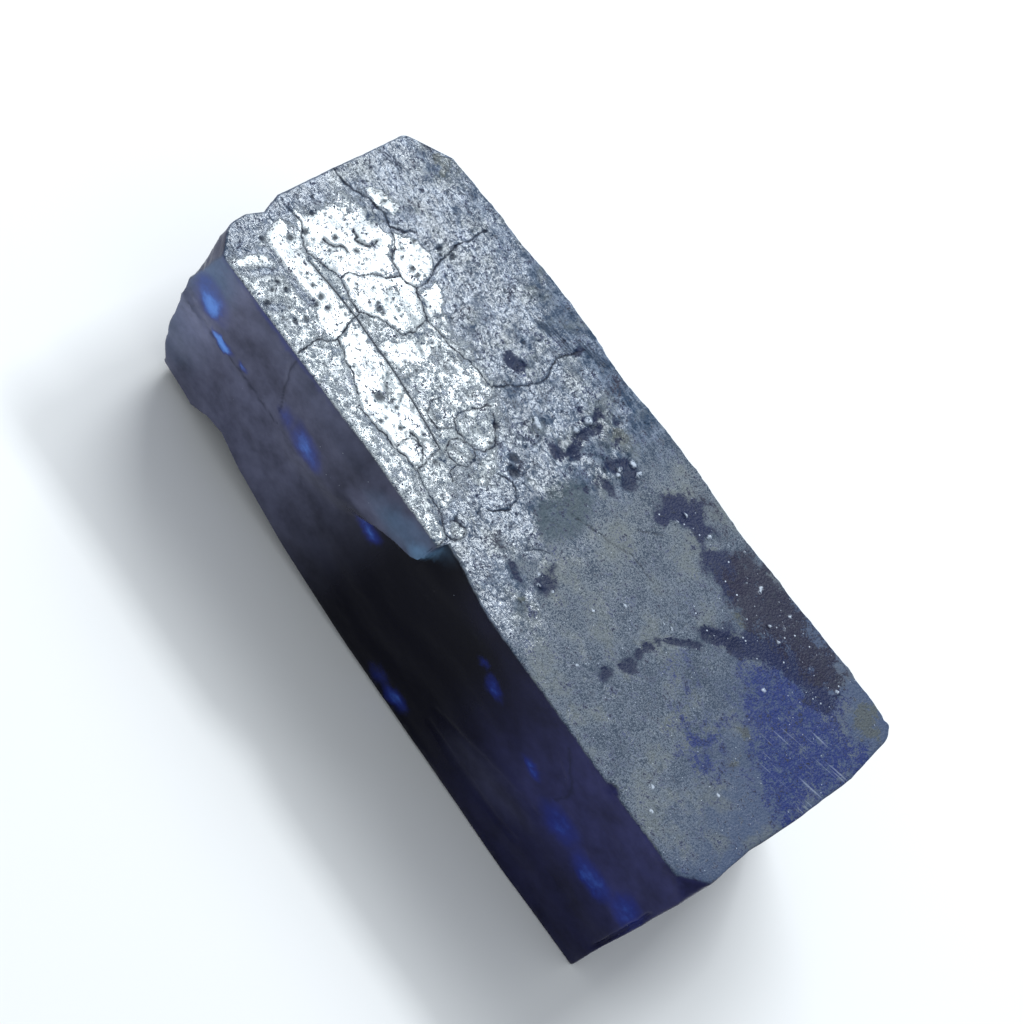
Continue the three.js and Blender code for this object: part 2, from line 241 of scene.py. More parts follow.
def block_face(axis, at_far_side):
    """The squares of one face of the block, as numbers of grid points, turned to look outward."""
    first, second = (axis + 1) % 3, (axis + 2) % 3
    index = [None, None, None]
    index[axis] = counts[axis] - 1 if at_far_side else 0
    index[first], index[second] = np.meshgrid(
        np.arange(counts[first]), np.arange(counts[second]), indexing="ij"
    )
    number = (index[0] * counts[1] + index[1]) * counts[2] + index[2]
    corners = [number[:-1, :-1], number[1:, :-1], number[1:, 1:], number[:-1, 1:]]
    if not at_far_side:
        corners.reverse()
    return np.stack([corner.ravel() for corner in corners], axis=1)


faces = np.concatenate([block_face(axis, side) for axis in range(3) for side in (False, True)])
grid_points, faces = np.unique(faces, return_inverse=True)
faces = faces.reshape(-1, 4)
across_index, up_index = np.divmod(grid_points, counts[2])[0] % counts[1], grid_points % counts[2]
along_index = grid_points // (counts[1] * counts[2])
block = np.stack(
    [stations[0][along_index], stations[1][across_index], stations[2][up_index]], axis=1
)

low_corner = np.array([BROKEN_END, FRONT, 0])
high_corner = np.array([CUT_END, BACK, HEIGHT_AT_CUT_END])
core = np.clip(block, low_corner + EDGE_ROUND, high_corner - EDGE_ROUND)
outward = block - core
outward /= np.linalg.norm(outward, axis=1, keepdims=True)
block = core + EDGE_ROUND * outward
share = (block - low_corner) / (high_corner - low_corner)


def warped(settled):
    """The block stretched onto the stone's six faces, read at the places where its points settled."""
    x, y, z = settled.T
    moved = block.copy()
    moved[:, 0] += (1 - share[:, 0]) * (broken_face(y, z) - BROKEN_END)
    moved[:, 0] += share[:, 0] * (cut_face(y, z) - CUT_END)
    moved[:, 1] += (1 - share[:, 1]) * (front_face(x, z) - FRONT)
    moved[:, 1] += share[:, 1] * (back_face(x, z) - BACK)
    moved[:, 2] += (1 - share[:, 2]) * underside(x, y)
    moved[:, 2] += share[:, 2] * (skin_height(x, y) - HEIGHT_AT_CUT_END)
    return moved


SETTLING_ROUNDS = 4
points = block
for settling in range(SETTLING_ROUNDS):
    points = warped(points)

chipped = np.zeros(len(points))
for through, looks in CHIPS:
    looks = np.array(looks) / np.linalg.norm(looks)
    proud = (points - np.array(through)) @ looks
    cut_back = CORNER_SOFTNESS * np.logaddexp(0, proud / CORNER_SOFTNESS)
    points = points - cut_back[:, None] * looks
    chipped = np.maximum(chipped, smoothstep(proud, -0.1, 0.1))

x, y, z = points.T
facing_up = np.clip(outward[:, 2], 0, 1)
facing_front = np.clip(-outward[:, 1], 0, 1)
facing_back = np.clip(outward[:, 1], 0, 1)
facing_cut = np.clip(outward[:, 0], 0, 1)
facing_broken = np.clip(-outward[:, 0], 0, 1)

# The skin. Where the crystal met its host rock it kept a thin glaze that crazed as it cooled: a straight
# seam, a network of cracks and round cells over the far half, then pits, blisters and a lumpy crust. The
# lines below are its larger cracks, each as points along and across the bar.
SEAM = [(-33.2, -8.2), (-30, -7.95), (-26, -7.7), (-20, -7.75), (-16, -8.1), (-13, -8.5), (-10.4, -8.9)]
CRACKS = {
    "beside_seam": [(-40, -6.5), (-38.2, -6.4), (-36.9, -6.2), (-36.2, -6.7), (-35.2, -7.5), (-34, -7.8),
                    (-32.9, -7.3), (-31.6, -6.9), (-30.2, -6.4), (-29, -6.7), (-27.6, -7.1), (-26.4, -7),
                    (-25.4, -6.3), (-24.6, -5.4), (-23.4, -4.9), (-21.9, -4.4), (-21.6, -3),
                    (-21.8, -1.6), (-21.8, -0.7)],
    "middle": [(-40, 0.9), (-38, 1), (-36.8, 1.5), (-35.6, 2.2), (-34, 2.6), (-32.8, 2.7), (-31.6, 2.3),
               (-30.4, 1.8), (-29.7, 1.4), (-29.4, 0.6), (-28.7, 0), (-27.3, -0.1), (-26.2, -0.1),
               (-25, 0.5), (-24.3, 0.1), (-23, -0.2), (-21.9, -0.7), (-20, -0.4), (-18.2, -0.3),
               (-17, 0.1), (-16.3, 0.5), (-14.6, 0.6), (-12.6, 0.8)],
    "middle_branch": [(-12.6, 0.8), (-12.1, 1.9), (-11.4, 3.2), (-10.8, 4.6), (-10.2, 6.2), (-10.4, 7.3),
                      (-11, 8.6), (-11.3, 10), (-10.9, 11.4), (-10.4, 13)],
    "first_bridge": [(-30.2, -6.4), (-30.1, -5.2), (-29.2, -4.1), (-28.6, -2.8), (-27.6, -1.8),
                     (-27.2, -0.7), (-26.9, -0.1)],
    "towards_back": [(-25, 0.5), (-25, 1.9), (-25.4, 3.1), (-26, 4.6), (-26.2, 6.4), (-26.5, 7.6),
                     (-26.2, 9.4), (-26.1, 12)],
    "back_arc": [(-31.8, 2.4), (-30.6, 3.3), (-29.9, 4.6)],
    "towards_front": [(-26.2, -7.1), (-26, -8.4), (-25.6, -9.6), (-25.2, -11), (-25.5, -12.1),
                      (-26.3, -13.2), (-26.1, -14.6), (-26.2, -16)],
    "tongue_start": [(-25.2, -11), (-23.9, -11.3), (-22.8, -11.9), (-21.4, -12), (-20.6, -12.6),
                     (-19.6, -12.9)],
    "tongue": [(-18.5, -14.3), (-17.9, -13.8), (-16.6, -13.6), (-15.4, -13.5), (-14.4, -13.2),
               (-13.4, -13.4), (-11.8, -12.9), (-10, -12.7), (-8.6, -13.2), (-7, -13.2), (-5.4, -13.3),
               (-4.2, -13.9), (-3.2, -14.5), (-2.2, -15)],
    "big_cell": [(-10.4, -1.1), (-9.4, -1.5), (-8.3, -2.3), (-7.6, -3.3), (-7.7, -4.5), (-8.4, -5.3),
                 (-9.6, -5.8), (-11, -5.9), (-12, -5.4), (-12.4, -4.6), (-12.1, -3.3), (-11.7, -2.1),
                 (-11.2, -0.7)],
    "lower_cell": [(-9.4, -5.8), (-10.3, -6.4), (-10.7, -7.3), (-10.2, -8.2), (-9, -8.5), (-8, -8.1),
                   (-7.4, -7.2), (-7.6, -6.2), (-8.4, -5.6)],
    "seam_end": [(-10.4, -8.9), (-10.4, -10), (-10.1, -11.2), (-10, -12.7)],
    "spur": [(-8.2, -8.4), (-8, -9.5), (-7.1, -9.9)],
    "far_cell": [(-5.2, -4.9), (-4.2, -4.3), (-3, -4.1), (-2.1, -4.8), (-1.6, -6.2), (-2.1, -7.6),
                 (-2.8, -8.4)],
    "side_cell": [(-14.6, -5), (-14.9, -6.3), (-14, -7.6), (-12.2, -7.7), (-11.5, -6.2)],
    "front_cell": [(-13.2, -12.9), (-13.3, -11.8), (-12.7, -10.8), (-11.7, -10.5), (-10.9, -11),
                   (-10.1, -12)],
    "tip_cell": [(-4, -13), (-3.7, -12.4), (-2.6, -12.1), (-1.9, -12.9), (-2.3, -14.1), (-3.2, -14.5)],
}
HAIRLINES = [
    [(3, -0.4), (4.5, 0.3), (5.5, 0.9), (7.2, 1.4), (8.4, 2.1), (9.4, 2.7), (10.6, 2.7), (12.7, 2.7)],
    [(7.4, 4.9), (8.2, 5.7), (8.9, 6.7), (9.6, 7.3)],
    [(4.4, -5.5), (3.3, -6.4), (2.6, -7.9)],
]
SEAM_HALF = 0.08
CRACK_HALF = 0.08
HAIRLINE_HALF = 0.07
SEAM_DEPTH = 0.12
CRACK_DEPTH = 0.08
HAIRLINE_DEPTH = 0.04
PILLOW_DROP = 0.01
PILLOW_REACH = 0.3

# Pits as place, radius and depth; blisters and crusts of crystal as place, two half-lengths, turn and rise
PITS = [
    (-33.8, -4, 0.32, 0.25), (-33, -5.5, 0.2, 0.15), (-31.5, -2.7, 0.3, 0.2), (-38.5, -3.2, 0.3, 0.15),
    (-37.2, -4.5, 0.35, 0.2), (-36.2, -8.4, 0.42, 0.3), (-35.9, -6.5, 0.4, 0.25), (-34.2, 3.7, 0.28, 0.2),
    (-29.2, 3.7, 0.28, 0.2), (-28.5, 1.4, 0.22, 0.18), (-26.9, 1.5, 0.3, 0.22), (-26.1, 1.7, 0.26, 0.2),
    (-25.5, -2.7, 0.16, 0.12), (-26, -4.5, 0.28, 0.22), (-25.4, -4.8, 0.42, 0.3), (-24.9, -4.7, 0.25, 0.2),
    (-27.7, -8.6, 0.22, 0.18), (-26.8, -8.6, 0.16, 0.15), (-31, -9.6, 0.26, 0.2), (-29.6, -9.7, 0.38, 0.28),
    (-28.3, -9.8, 0.3, 0.25), (-29.2, -10.8, 0.32, 0.22), (-33.2, -12.9, 0.32, 0.25),
    (-32.1, -12.6, 0.32, 0.22), (-28.5, -12.7, 0.36, 0.28), (-32.8, -14, 0.3, 0.22),
    (-29, -14, 0.42, 0.3), (-33.7, -13.7, 0.18, 0.15), (-32, -15.4, 0.5, 0.25), (-27.2, 5.8, 0.35, 0.25),
    (-26.6, 5.4, 0.25, 0.2), (-25.8, 6.5, 0.35, 0.25), (-26.4, 7.6, 0.3, 0.2), (-18.1, -11, 0.6, 0.4),
    (-17, -10.1, 0.28, 0.22), (-16.3, -10.2, 0.32, 0.25), (-14.3, -11.3, 0.32, 0.28),
    (-18.2, -5.5, 0.26, 0.2), (-18.1, -6.5, 0.17, 0.15), (-15.9, -12.8, 0.3, 0.22),
    (-6.6, -7.9, 0.22, 0.18), (-9.7, -10.2, 0.32, 0.25), (-12.6, -9.4, 0.26, 0.18),
    (-8.1, -3.4, 0.18, 0.15), (-14.6, 7.4, 0.25, 0.2), (-4.3, -3.1, 0.9, 0.32), (-5.6, -2.1, 0.7, 0.22),
    (-9.2, -1.5, 0.5, 0.22), (-3.9, -12.2, 0.35, 0.2), (-37.6, -11.3, 0.4, 0.2),
]
BUMPS = [
    (-7, 2.7, 1.1, 0.35, -15, 0.3), (-6.8, 4, 0.6, 0.4, 20, 0.2), (-4.3, 8.2, 0.5, 0.55, 0, 0.34),
    (-4.2, 6.2, 0.45, 0.4, 0, 0.25), (-13, 6.3, 0.9, 0.6, 10, 0.16), (-14.2, 9.2, 0.6, 0.4, 40, 0.14),
    (1.9, 9.5, 0.6, 0.4, -30, 0.3), (3.1, 9.3, 0.35, 0.55, 10, 0.26), (1.5, 7.7, 0.35, 0.4, 0, 0.26),
    (1.9, 7, 0.4, 0.3, 0, 0.26), (0.6, 6.3, 0.5, 0.35, 20, 0.2), (0.5, 9.9, 0.45, 0.3, 0, 0.2),
    (-2.5, 13.2, 0.6, 0.4, 0, 0.22), (-3.8, 13.4, 0.5, 0.35, 30, 0.2), (-1.5, 8.4, 0.7, 0.45, 60, 0.2),
    (-0.8, 7, 0.6, 0.4, 30, 0.2), (12.4, 11.9, 0.3, 0.3, 0, 0.26), (9.1, 11, 0.35, 0.25, 0, 0.2),
    (9.3, 9.6, 0.25, 0.25, 0, 0.18), (32.9, 13.3, 0.25, 0.22, 0, 0.18), (23.2, 11.3, 0.28, 0.22, 0, 0.2),
    (25.3, 11.1, 0.22, 0.2, 0, 0.2), (6.5, -8.8, 0.4, 0.3, 20, 0.2), (6.4, -11.9, 0.5, 0.4, 0, 0.2),
    (-32.5, -0.8, 1.1, 1.6, 20, 0.1), (-22.7, -2.8, 0.8, 0.9, 0, 0.06), (-34, 12.2, 1.1, 1.2, 0, 0.14),
]
GASHES = [
    [(-34.4, -5.2), (-33.6, -5.1), (-32.9, -4.5), (-32.5, -3.8), (-31.9, -3.7)],
    [(-33.5, -1.5), (-32.8, -1.6), (-32.5, -2.1), (-31.7, -1.8), (-31.1, -1), (-31.2, 0)],
    [(-13.5, -10.6), (-12.5, -10.4), (-11.8, -10.5)],
]
GASH_HALF = 0.1
GASH_DEPTH = 0.1
FLOW_STREAKS = [
    [(-36.6, -11.9), (-37.2, -13.2), (-37.5, -14.3)],
    [(-33.9, -12), (-34.8, -13.6), (-35.6, -15)],
    [(-30.8, -14), (-31.5, -15.4), (-32, -16)],
    [(-36.2, -11.3), (-34.2, -11.5), (-32, -11.4), (-30, -11.2), (-29.3, -10.7)],
    [(-38.6, -9), (-38.2, -10.4), (-38.6, -11.8)],
]
STREAK_HALF = 0.38
STREAK_DEPTH = 0.1

# The round beads that fell out of the frosted half, and the gaps between lumps, left dark blue hollows
BEAD_HOLLOWS = [
    (17.2, -8.6, 0.8, 1.1, 0, 0.2), (17.9, -5.9, 1.05, 1.2, 0, 0.2), (17.6, -4, 0.6, 0.7, 0, 0.14),
    (17.5, -2.5, 0.7, 0.9, 0, 0.18), (17.7, -1.2, 0.5, 0.5, 0, 0.12), (18.9, 0.6, 0.5, 1.5, -38, 0.16),
    (20.1, 2.2, 0.55, 1.2, -42, 0.2), (20.4, 4.5, 1.5, 1, 30, 0.2), (22.3, 6.2, 1.6, 0.9, 40, 0.18),
]
BLUE_HOLLOWS = [
    (-3.4, 7, 0.7, 2.4, -8, 0.24), (-4.3, 9.6, 0.5, 1.2, 30, 0.2), (-2.6, 4.6, 0.9, 1.2, 20, 0.2),
    (-3.6, 2.6, 1.2, 0.9, 0, 0.14), (1.2, 7.9, 2.4, 1, 60, 0.18), (2.9, 8, 1.2, 1.6, 30, 0.18),
    (2.3, 5.2, 1.4, 0.6, 0, 0.12), (6.6, -8.1, 1.2, 1.5, 10, 0.16), (5.7, -6.4, 0.4, 1, 0, 0.1),
    (3.8, -10.3, 1.4, 0.5, -10, 0.12), (-13.4, 5, 1.6, 1, 20, 0.08), (-10.6, 12.4, 0.5, 1, 0, 0.1),
]

NOISE_TABLE = 256
NOISE_SHIFT = (17.3, 9.1)
NOISE_GAIN = 1.5
noise_angles = np.random.default_rng(11).random((NOISE_TABLE, NOISE_TABLE)) * 2 * math.pi


def grain(a, b, size, shift=0):
    """Soft random hills and hollows of one size, within 1 either way."""
    across, along = a / size + NOISE_SHIFT[0] * shift, b / size - NOISE_SHIFT[1] * shift
    column, row = np.floor(across).astype(int), np.floor(along).astype(int)
    u, v = across - column, along - row
    ease_u, ease_v = u ** 3 * (u * (6 * u - 15) + 10), v ** 3 * (v * (6 * v - 15) + 10)
    corner = {}
    for du in (0, 1):
        for dv in (0, 1):
            angle = noise_angles[(column + du) % NOISE_TABLE, (row + dv) % NOISE_TABLE]
            corner[du, dv] = np.cos(angle) * (u - du) + np.sin(angle) * (v - dv)
    near = corner[0, 0] + ease_u * (corner[1, 0] - corner[0, 0])
    far = corner[0, 1] + ease_u * (corner[1, 1] - corner[0, 1])
    return NOISE_GAIN * (near + ease_v * (far - near))


def rough(a, b, size, layers, shift=0):
    """Hills and hollows of several sizes, each layer half as long and half as high as the one before."""
    return sum(grain(a, b, size / 2 ** n, shift + n) / 2 ** n for n in range(layers))


def ridges(a, b, size, layers, shift=0):
    """The same with sharp crests, from 0 in the hollows to about 1 on the crests."""
    return sum((1 - np.abs(grain(a, b, size / 2 ** n, shift + n))) / 2 ** n for n in range(layers)) / 2


CELL_TABLE = 128
CELL_SHIFT = (5.7, 3.1)
cell_spots = np.random.default_rng(23).random((CELL_TABLE, CELL_TABLE, 3))


def cells(a, b, size, shift=0):
    """For a crazed surface: the distance to the nearest spot, to the edge of its cell, and its own number."""
    across, along = a / size + CELL_SHIFT[0] * shift, b / size + CELL_SHIFT[1] * shift
    column, row = np.floor(across).astype(int), np.floor(along).astype(int)
    nearest = np.full(a.shape, np.inf)
    second = np.full(a.shape, np.inf)
    number = np.zeros(a.shape)
    for du in (-1, 0, 1):
        for dv in (-1, 0, 1):
            spot = cell_spots[(column + du) % CELL_TABLE, (row + dv) % CELL_TABLE]
            distance = np.hypot(column + du + spot[:, 0] - across, row + dv + spot[:, 1] - along)
            closer = distance < nearest
            second = np.where(closer, nearest, np.minimum(second, distance))
            number = np.where(closer, spot[:, 2], number)
            nearest = np.where(closer, distance, nearest)
    return nearest * size, (second - nearest) * size / 2, number


LINE_REACH = 2.0


def distance_to(line, a, b):
    """Distance from each place to a line of points, up to a reach."""
    distance = np.full(a.shape, LINE_REACH)
    for (from_a, from_b), (to_a, to_b) in zip(line, line[1:]):
        near = (a > min(from_a, to_a) - LINE_REACH) & (a < max(from_a, to_a) + LINE_REACH)
        near &= (b > min(from_b, to_b) - LINE_REACH) & (b < max(from_b, to_b) + LINE_REACH)
        run_a, run_b = to_a - from_a, to_b - from_b
        over_a, over_b = a[near] - from_a, b[near] - from_b
        along = np.clip((over_a * run_a + over_b * run_b) / (run_a ** 2 + run_b ** 2), 0, 1)
        gap = np.hypot(over_a - along * run_a, over_b - along * run_b)
        distance[near] = np.minimum(distance[near], gap)
    return distance


def gap_to(lines, a, b):
    """Distance from each place to the nearest of several lines."""
    return np.minimum.reduce([distance_to(line, a, b) for line in lines])


def inside_of(outline, a, b):
    """Depth inside a closed outline: above 0 inside it, below 0 outside it."""
    closed = outline + outline[:1]
    inside = np.zeros(a.shape, dtype=bool)
    for (from_a, from_b), (to_a, to_b) in zip(closed, closed[1:]):
        if from_b != to_b:
            level = (b > min(from_b, to_b)) & (b <= max(from_b, to_b))
            inside ^= level & (a < from_a + (b - from_b) * (to_a - from_a) / (to_b - from_b))
    return np.where(inside, 1, -1) * distance_to(closed, a, b)


FRAY_SIZE = 1.6


def within(outlines, a, b, fray, soft, shift):
    """A share from 0 outside all the outlines to 1 inside one of them, with a torn, soft edge."""
    depth = np.maximum.reduce([inside_of(outline, a, b) for outline in outlines])
    return smoothstep(depth + fray * rough(a, b, FRAY_SIZE, layers=5, shift=shift), -soft, soft)


def dome(a, b, middle_a, middle_b, half_a, half_b, turn=0):
    """A round-topped patch: 1 at its middle, falling to 0 at its rim."""
    angle = math.radians(turn)
    over_a, over_b = a - middle_a, b - middle_b
    along = (over_a * math.cos(angle) + over_b * math.sin(angle)) / half_a
    across = (over_b * math.cos(angle) - over_a * math.sin(angle)) / half_b
    return np.clip(1 - along ** 2 - across ** 2, 0, 1)


def notch(distance, half):
    """A groove's profile: 1 on its line, fading beside it."""
    return np.exp(-(distance / half) ** 2)


# The skin's points. Each is read at a place a little beside its own, so that no line or rim is quite even.
SKIN_WOBBLE = 0.16
WOBBLE_SIZE = 0.8
SEAM_WOBBLE = 0.03
CRACK_FADE = 0.3
on_skin = facing_up > 0.02
sx, sy = x[on_skin], y[on_skin]
wobble_x = sx + SKIN_WOBBLE * rough(sx, sy, WOBBLE_SIZE, layers=4, shift=1)
wobble_y = sy + SKIN_WOBBLE * rough(sx, sy, WOBBLE_SIZE, layers=4, shift=4)
faded = 1 - CRACK_FADE + CRACK_FADE * smoothstep(rough(sx, sy, size=1.5, layers=3, shift=15), -0.4, 0.3)

seam_gap = distance_to(SEAM, wobble_x, sy + SEAM_WOBBLE * grain(sx, sy, size=1.2))
crack_gap = gap_to(CRACKS.values(), wobble_x, wobble_y)
hairline_gap = gap_to(HAIRLINES, wobble_x, wobble_y)
gash_gap = gap_to(GASHES, wobble_x, wobble_y)
streak_gap = gap_to(FLOW_STREAKS, wobble_x, wobble_y)

# Where each kind of skin lies: glaze along the front of the far half, crust behind it, frost beyond them
WHOLE_GLAZE = [
    [(-38.6, -6.2), (-37.2, -5.4), (-36.6, -2.2), (-34.6, 0), (-32.6, 1.2), (-31, 1.8), (-29.7, 0.6),
     (-28.9, -0.2), (-27.5, -0.6), (-28.5, -2.6), (-29.9, -4.9), (-30.3, -6.4), (-32.8, -7.3), (-34.5, -7.7),
     (-36.2, -6.8)],
    [(-27.2, -0.5), (-25, 0.4), (-23.4, -0.2), (-22, -0.8), (-21.6, -3), (-22, -4.3), (-23.8, -4.9),
     (-24.8, -5.8), (-25.8, -6.8), (-27, -7), (-30, -6.4), (-29.9, -4.8), (-28.5, -2.6)],
    [(-38.5, -8), (-35.5, -8), (-32.8, -8.2), (-26, -8), (-25.5, -10), (-25.3, -11.3), (-27, -11.8),
     (-29.5, -11.1), (-33.5, -11.3), (-36.3, -11), (-38.3, -9.8)],
    [(-36.6, 2.7), (-35.3, 4.2), (-33, 4.8), (-32.7, 3.5), (-34.4, 2.7)],
    [(-31, 2.2), (-29.3, 4), (-27, 4.5), (-25.8, 3.5), (-25.1, 1), (-26, -0.1), (-28.8, 0)],
    [(-24.7, 3), (-23, 2.8), (-21.8, 1), (-22.5, 0), (-24.4, 0.7)],
    [(-25.5, -8.2), (-19, -8), (-10.5, -9), (-10, -12.5), (-13.8, -13.2), (-18.5, -14), (-19.3, -12.8),
     (-23.5, -11.8), (-24.8, -10.6)],
    [(-36.4, -12), (-35, -12.7), (-36.6, -15.6), (-37.4, -15)],
    [(-21.4, -4.6), (-19, -0.9), (-18.8, -3), (-19.4, -7.4), (-22.6, -7.2)],
]
BROKEN_GLAZE = [
    [(-32.8, -11.8), (-27, -11.8), (-26.4, -16.3), (-34.8, -16.3)],
    [(-25, -12), (-19.6, -13), (-18.4, -14.4), (-12, -13.4), (-3, -14.6), (-2.4, -16.4), (-25, -16.4)],
    [(-12.2, -5.2), (-10.4, -1.3), (-8.2, -2.2), (-7.7, -4.5), (-9.6, -5.8)],
    [(-10.6, -7.3), (-9.4, -5.9), (-7.5, -6.4), (-8, -8.1), (-9.8, -8.4)],
    [(-7.6, -2.6), (-5.4, -4.6), (-4.6, -7), (-6.4, -8), (-7.2, -5.6)],
    [(-10.2, -9.3), (-7, -9.8), (-4.8, -12.4), (-5.4, -13.2), (-9.8, -12.6)],
    [(-4, -12.8), (-2.6, -12.1), (-1.9, -12.9), (-2.6, -14.4)],
    [(-20, -0.6), (-12.8, 0.6), (-11.4, -0.6), (-12.6, -5), (-15, -7.4), (-19, -7.6)],
]
WHOLE_SHARE = 1.25
BROKEN_SHARE = 0.76
LOOSE_SHARE = 0.72
GLAZE_FRAY = 0.3
LOOSE_FROM = (-39.5, -36)
LOOSE_TO = (-7, -1)
LOOSE_SLANT = 0.35
LOOSE_BACK = (0, 3)
CRUST_TO_FROST = (-2, 7)
CRUST_FRAY = 2
STRIP_SHARE = 0.85
STRIP_FRONT = (-11, -9)
STRIP_TO_FROST = (4, 13)
STREAK_BARE = 0.85
crusted = 1 - smoothstep(sx + CRUST_FRAY * rough(sx, sy, size=4, layers=4), *CRUST_TO_FROST)
front_strip = 1 - smoothstep(sy + 0.8 * rough(sx, sy, size=2, layers=2), *STRIP_FRONT)
front_strip *= STRIP_SHARE
front_strip *= 1 - smoothstep(sx + rough(sx, sy, size=2, layers=4, shift=51), *STRIP_TO_FROST)
crusted = np.maximum(crusted, front_strip)
loose_zone = smoothstep(sx, *LOOSE_FROM) * (1 - smoothstep(sx + LOOSE_SLANT * (sy - FRONT), *LOOSE_TO))
loose_zone *= 1 - smoothstep(sy + 1.2 * rough(sx, sy, size=2, layers=4, shift=17), *LOOSE_BACK)
glazed = np.maximum.reduce([
    WHOLE_SHARE * within(WHOLE_GLAZE, wobble_x, wobble_y, fray=GLAZE_FRAY, soft=0.3, shift=7),
    BROKEN_SHARE * within(BROKEN_GLAZE, wobble_x, wobble_y, fray=GLAZE_FRAY, soft=0.3, shift=9),
    LOOSE_SHARE * loose_zone,
])
glazed *= 1 - STREAK_BARE * notch(streak_gap, STREAK_HALF)

# Between the large cracks the crust is crazed into small cells, and it gathers into lumps near its end
CELL_SIZE = 1.9
SMALL_CELL_SIZE = 0.8
CELL_CURL = 0.3
CRAZED_MIDDLE = -5
CRAZED_REACH = (5, 11)
CRAZED_FROM = (-26, -18)
LUMPY_MIDDLE = (-1, 6.5)
LUMPY_HALF = (6.5, 7)
LUMPY_FADE = (0.6, 1.1)
curl_x = wobble_x + CELL_CURL * rough(sx, sy, size=1.6, layers=2, shift=21)
curl_y = wobble_y + CELL_CURL * rough(sx, sy, size=1.6, layers=2, shift=24)
cell_edge = cells(curl_x, curl_y, CELL_SIZE)[1]
small_edge = cells(curl_x, curl_y, SMALL_CELL_SIZE, shift=3)[1]
crazed = crusted * (1 - smoothstep(np.abs(sy - CRAZED_MIDDLE), *CRAZED_REACH)) * smoothstep(sx, *CRAZED_FROM)
crazed *= smoothstep(rough(sx, sy, size=2.5, layers=2, shift=18), -0.1, 0.5)
from_lumps = np.hypot((sx - LUMPY_MIDDLE[0]) / LUMPY_HALF[0], (sy - LUMPY_MIDDLE[1]) / LUMPY_HALF[1])
lumpy = (1 - smoothstep(from_lumps, *LUMPY_FADE)) * crusted

# The relief of the skin, in millimetres. Grooves are shallower in the glaze, which filled them.
GLAZE_FILLS = 0.75
CELL_EDGE_DEPTH = 0.05
CELL_EDGE_HALF = 0.07
CELL_SAG = 0.03
CELL_SAG_REACH = 0.3
SMALL_EDGE_DEPTH = 0.03
SMALL_EDGE_HALF = 0.06
PIT_SHARE = 0.5
HOLLOW_SHARE = 0.3
RIM_SPREAD = 1.2
relief = np.zeros(sx.shape)
groove_share = 1 - GLAZE_FILLS * glazed
relief -= SEAM_DEPTH * groove_share * notch(seam_gap, SEAM_HALF)
relief -= CRACK_DEPTH * groove_share * faded * notch(crack_gap, CRACK_HALF)
relief -= PILLOW_DROP * np.exp(-np.minimum(crack_gap, seam_gap) / PILLOW_REACH)
relief -= HAIRLINE_DEPTH * notch(hairline_gap, HAIRLINE_HALF)
relief -= GASH_DEPTH * notch(gash_gap, GASH_HALF)
relief -= STREAK_DEPTH * notch(streak_gap, STREAK_HALF)
cell_groove = CELL_EDGE_DEPTH * notch(cell_edge, CELL_EDGE_HALF)
cell_groove += CELL_SAG * np.exp(-cell_edge / CELL_SAG_REACH)
relief -= crazed * cell_groove
relief -= SMALL_EDGE_DEPTH * crazed * notch(small_edge, SMALL_EDGE_HALF)
hollow = np.zeros(sx.shape)
for place_x, place_y, radius, depth in PITS:
    pit = dome(wobble_x, wobble_y, place_x, place_y, radius, radius)
    relief -= PIT_SHARE * depth * pit
    hollow = np.maximum(hollow, smoothstep(pit, 0, 0.9))
for place_x, place_y, half_x, half_y, turn, rise in BUMPS:
    bump = dome(wobble_x, wobble_y, place_x, place_y, half_x * RIM_SPREAD, half_y * RIM_SPREAD, turn)
    relief += rise * bump
blue_hollow = np.zeros(sx.shape)
for place_x, place_y, half_x, half_y, turn, depth in BEAD_HOLLOWS + BLUE_HOLLOWS:
    pit = dome(wobble_x, wobble_y, place_x, place_y, half_x * RIM_SPREAD, half_y * RIM_SPREAD, turn)
    relief -= HOLLOW_SHARE * depth * smoothstep(pit, 0, 1)
    blue_hollow = np.maximum(blue_hollow, smoothstep(pit, -0.1, 0.9))

# The glaze ran and wrinkled along the bar; round cells keep rings around their middles
WRINKLE_RISE = 0.08
WRINKLE_LENGTH = 0.4
GLAZE_SMOOTHS = 0.88
CRUST_GRAIN = 0.03
LUMP_RISE = 0.13
GLAZE_WAVE = 0.016
GLAZE_GRAIN = 0.003
FROST_GRAIN = 0.015
along_wrinkles = WRINKLE_LENGTH * sx + 0.4 * rough(sx, sy, size=2, layers=2, shift=19)
wrinkles = ridges(along_wrinkles, sy, size=0.7, layers=2) - 0.7
crust_relief = WRINKLE_RISE * wrinkles + CRUST_GRAIN * rough(sx, sy, size=0.4, layers=2, shift=5)
relief += crusted * (1 - GLAZE_SMOOTHS * glazed) * crust_relief
lumps = rough(sx, sy, size=1.5, layers=3, shift=9)
relief += lumpy * LUMP_RISE * lumps
glaze_relief = GLAZE_WAVE * grain(sx, sy, size=1.6, shift=3)
relief += glazed * (glaze_relief + GLAZE_GRAIN * rough(sx, sy, size=0.5, layers=2, shift=5))
relief += (1 - crusted) * FROST_GRAIN * rough(sx, sy, size=0.7, layers=2, shift=6)
RINGED_CELLS = [
    (-10, -3.5, 1.7), (-12, -11.6, 1.3), (-7.4, -11, 1.8), (-22.7, -2.8, 0.9), (-14.4, -11.3, 0.8),
    (-3, -12.9, 0.8), (-9.1, -7, 1.1), (-3.3, -6.4, 1.7),
]
RING_PITCH = 0.42
RING_RISE = 0.012
RING_FADE = 0.8
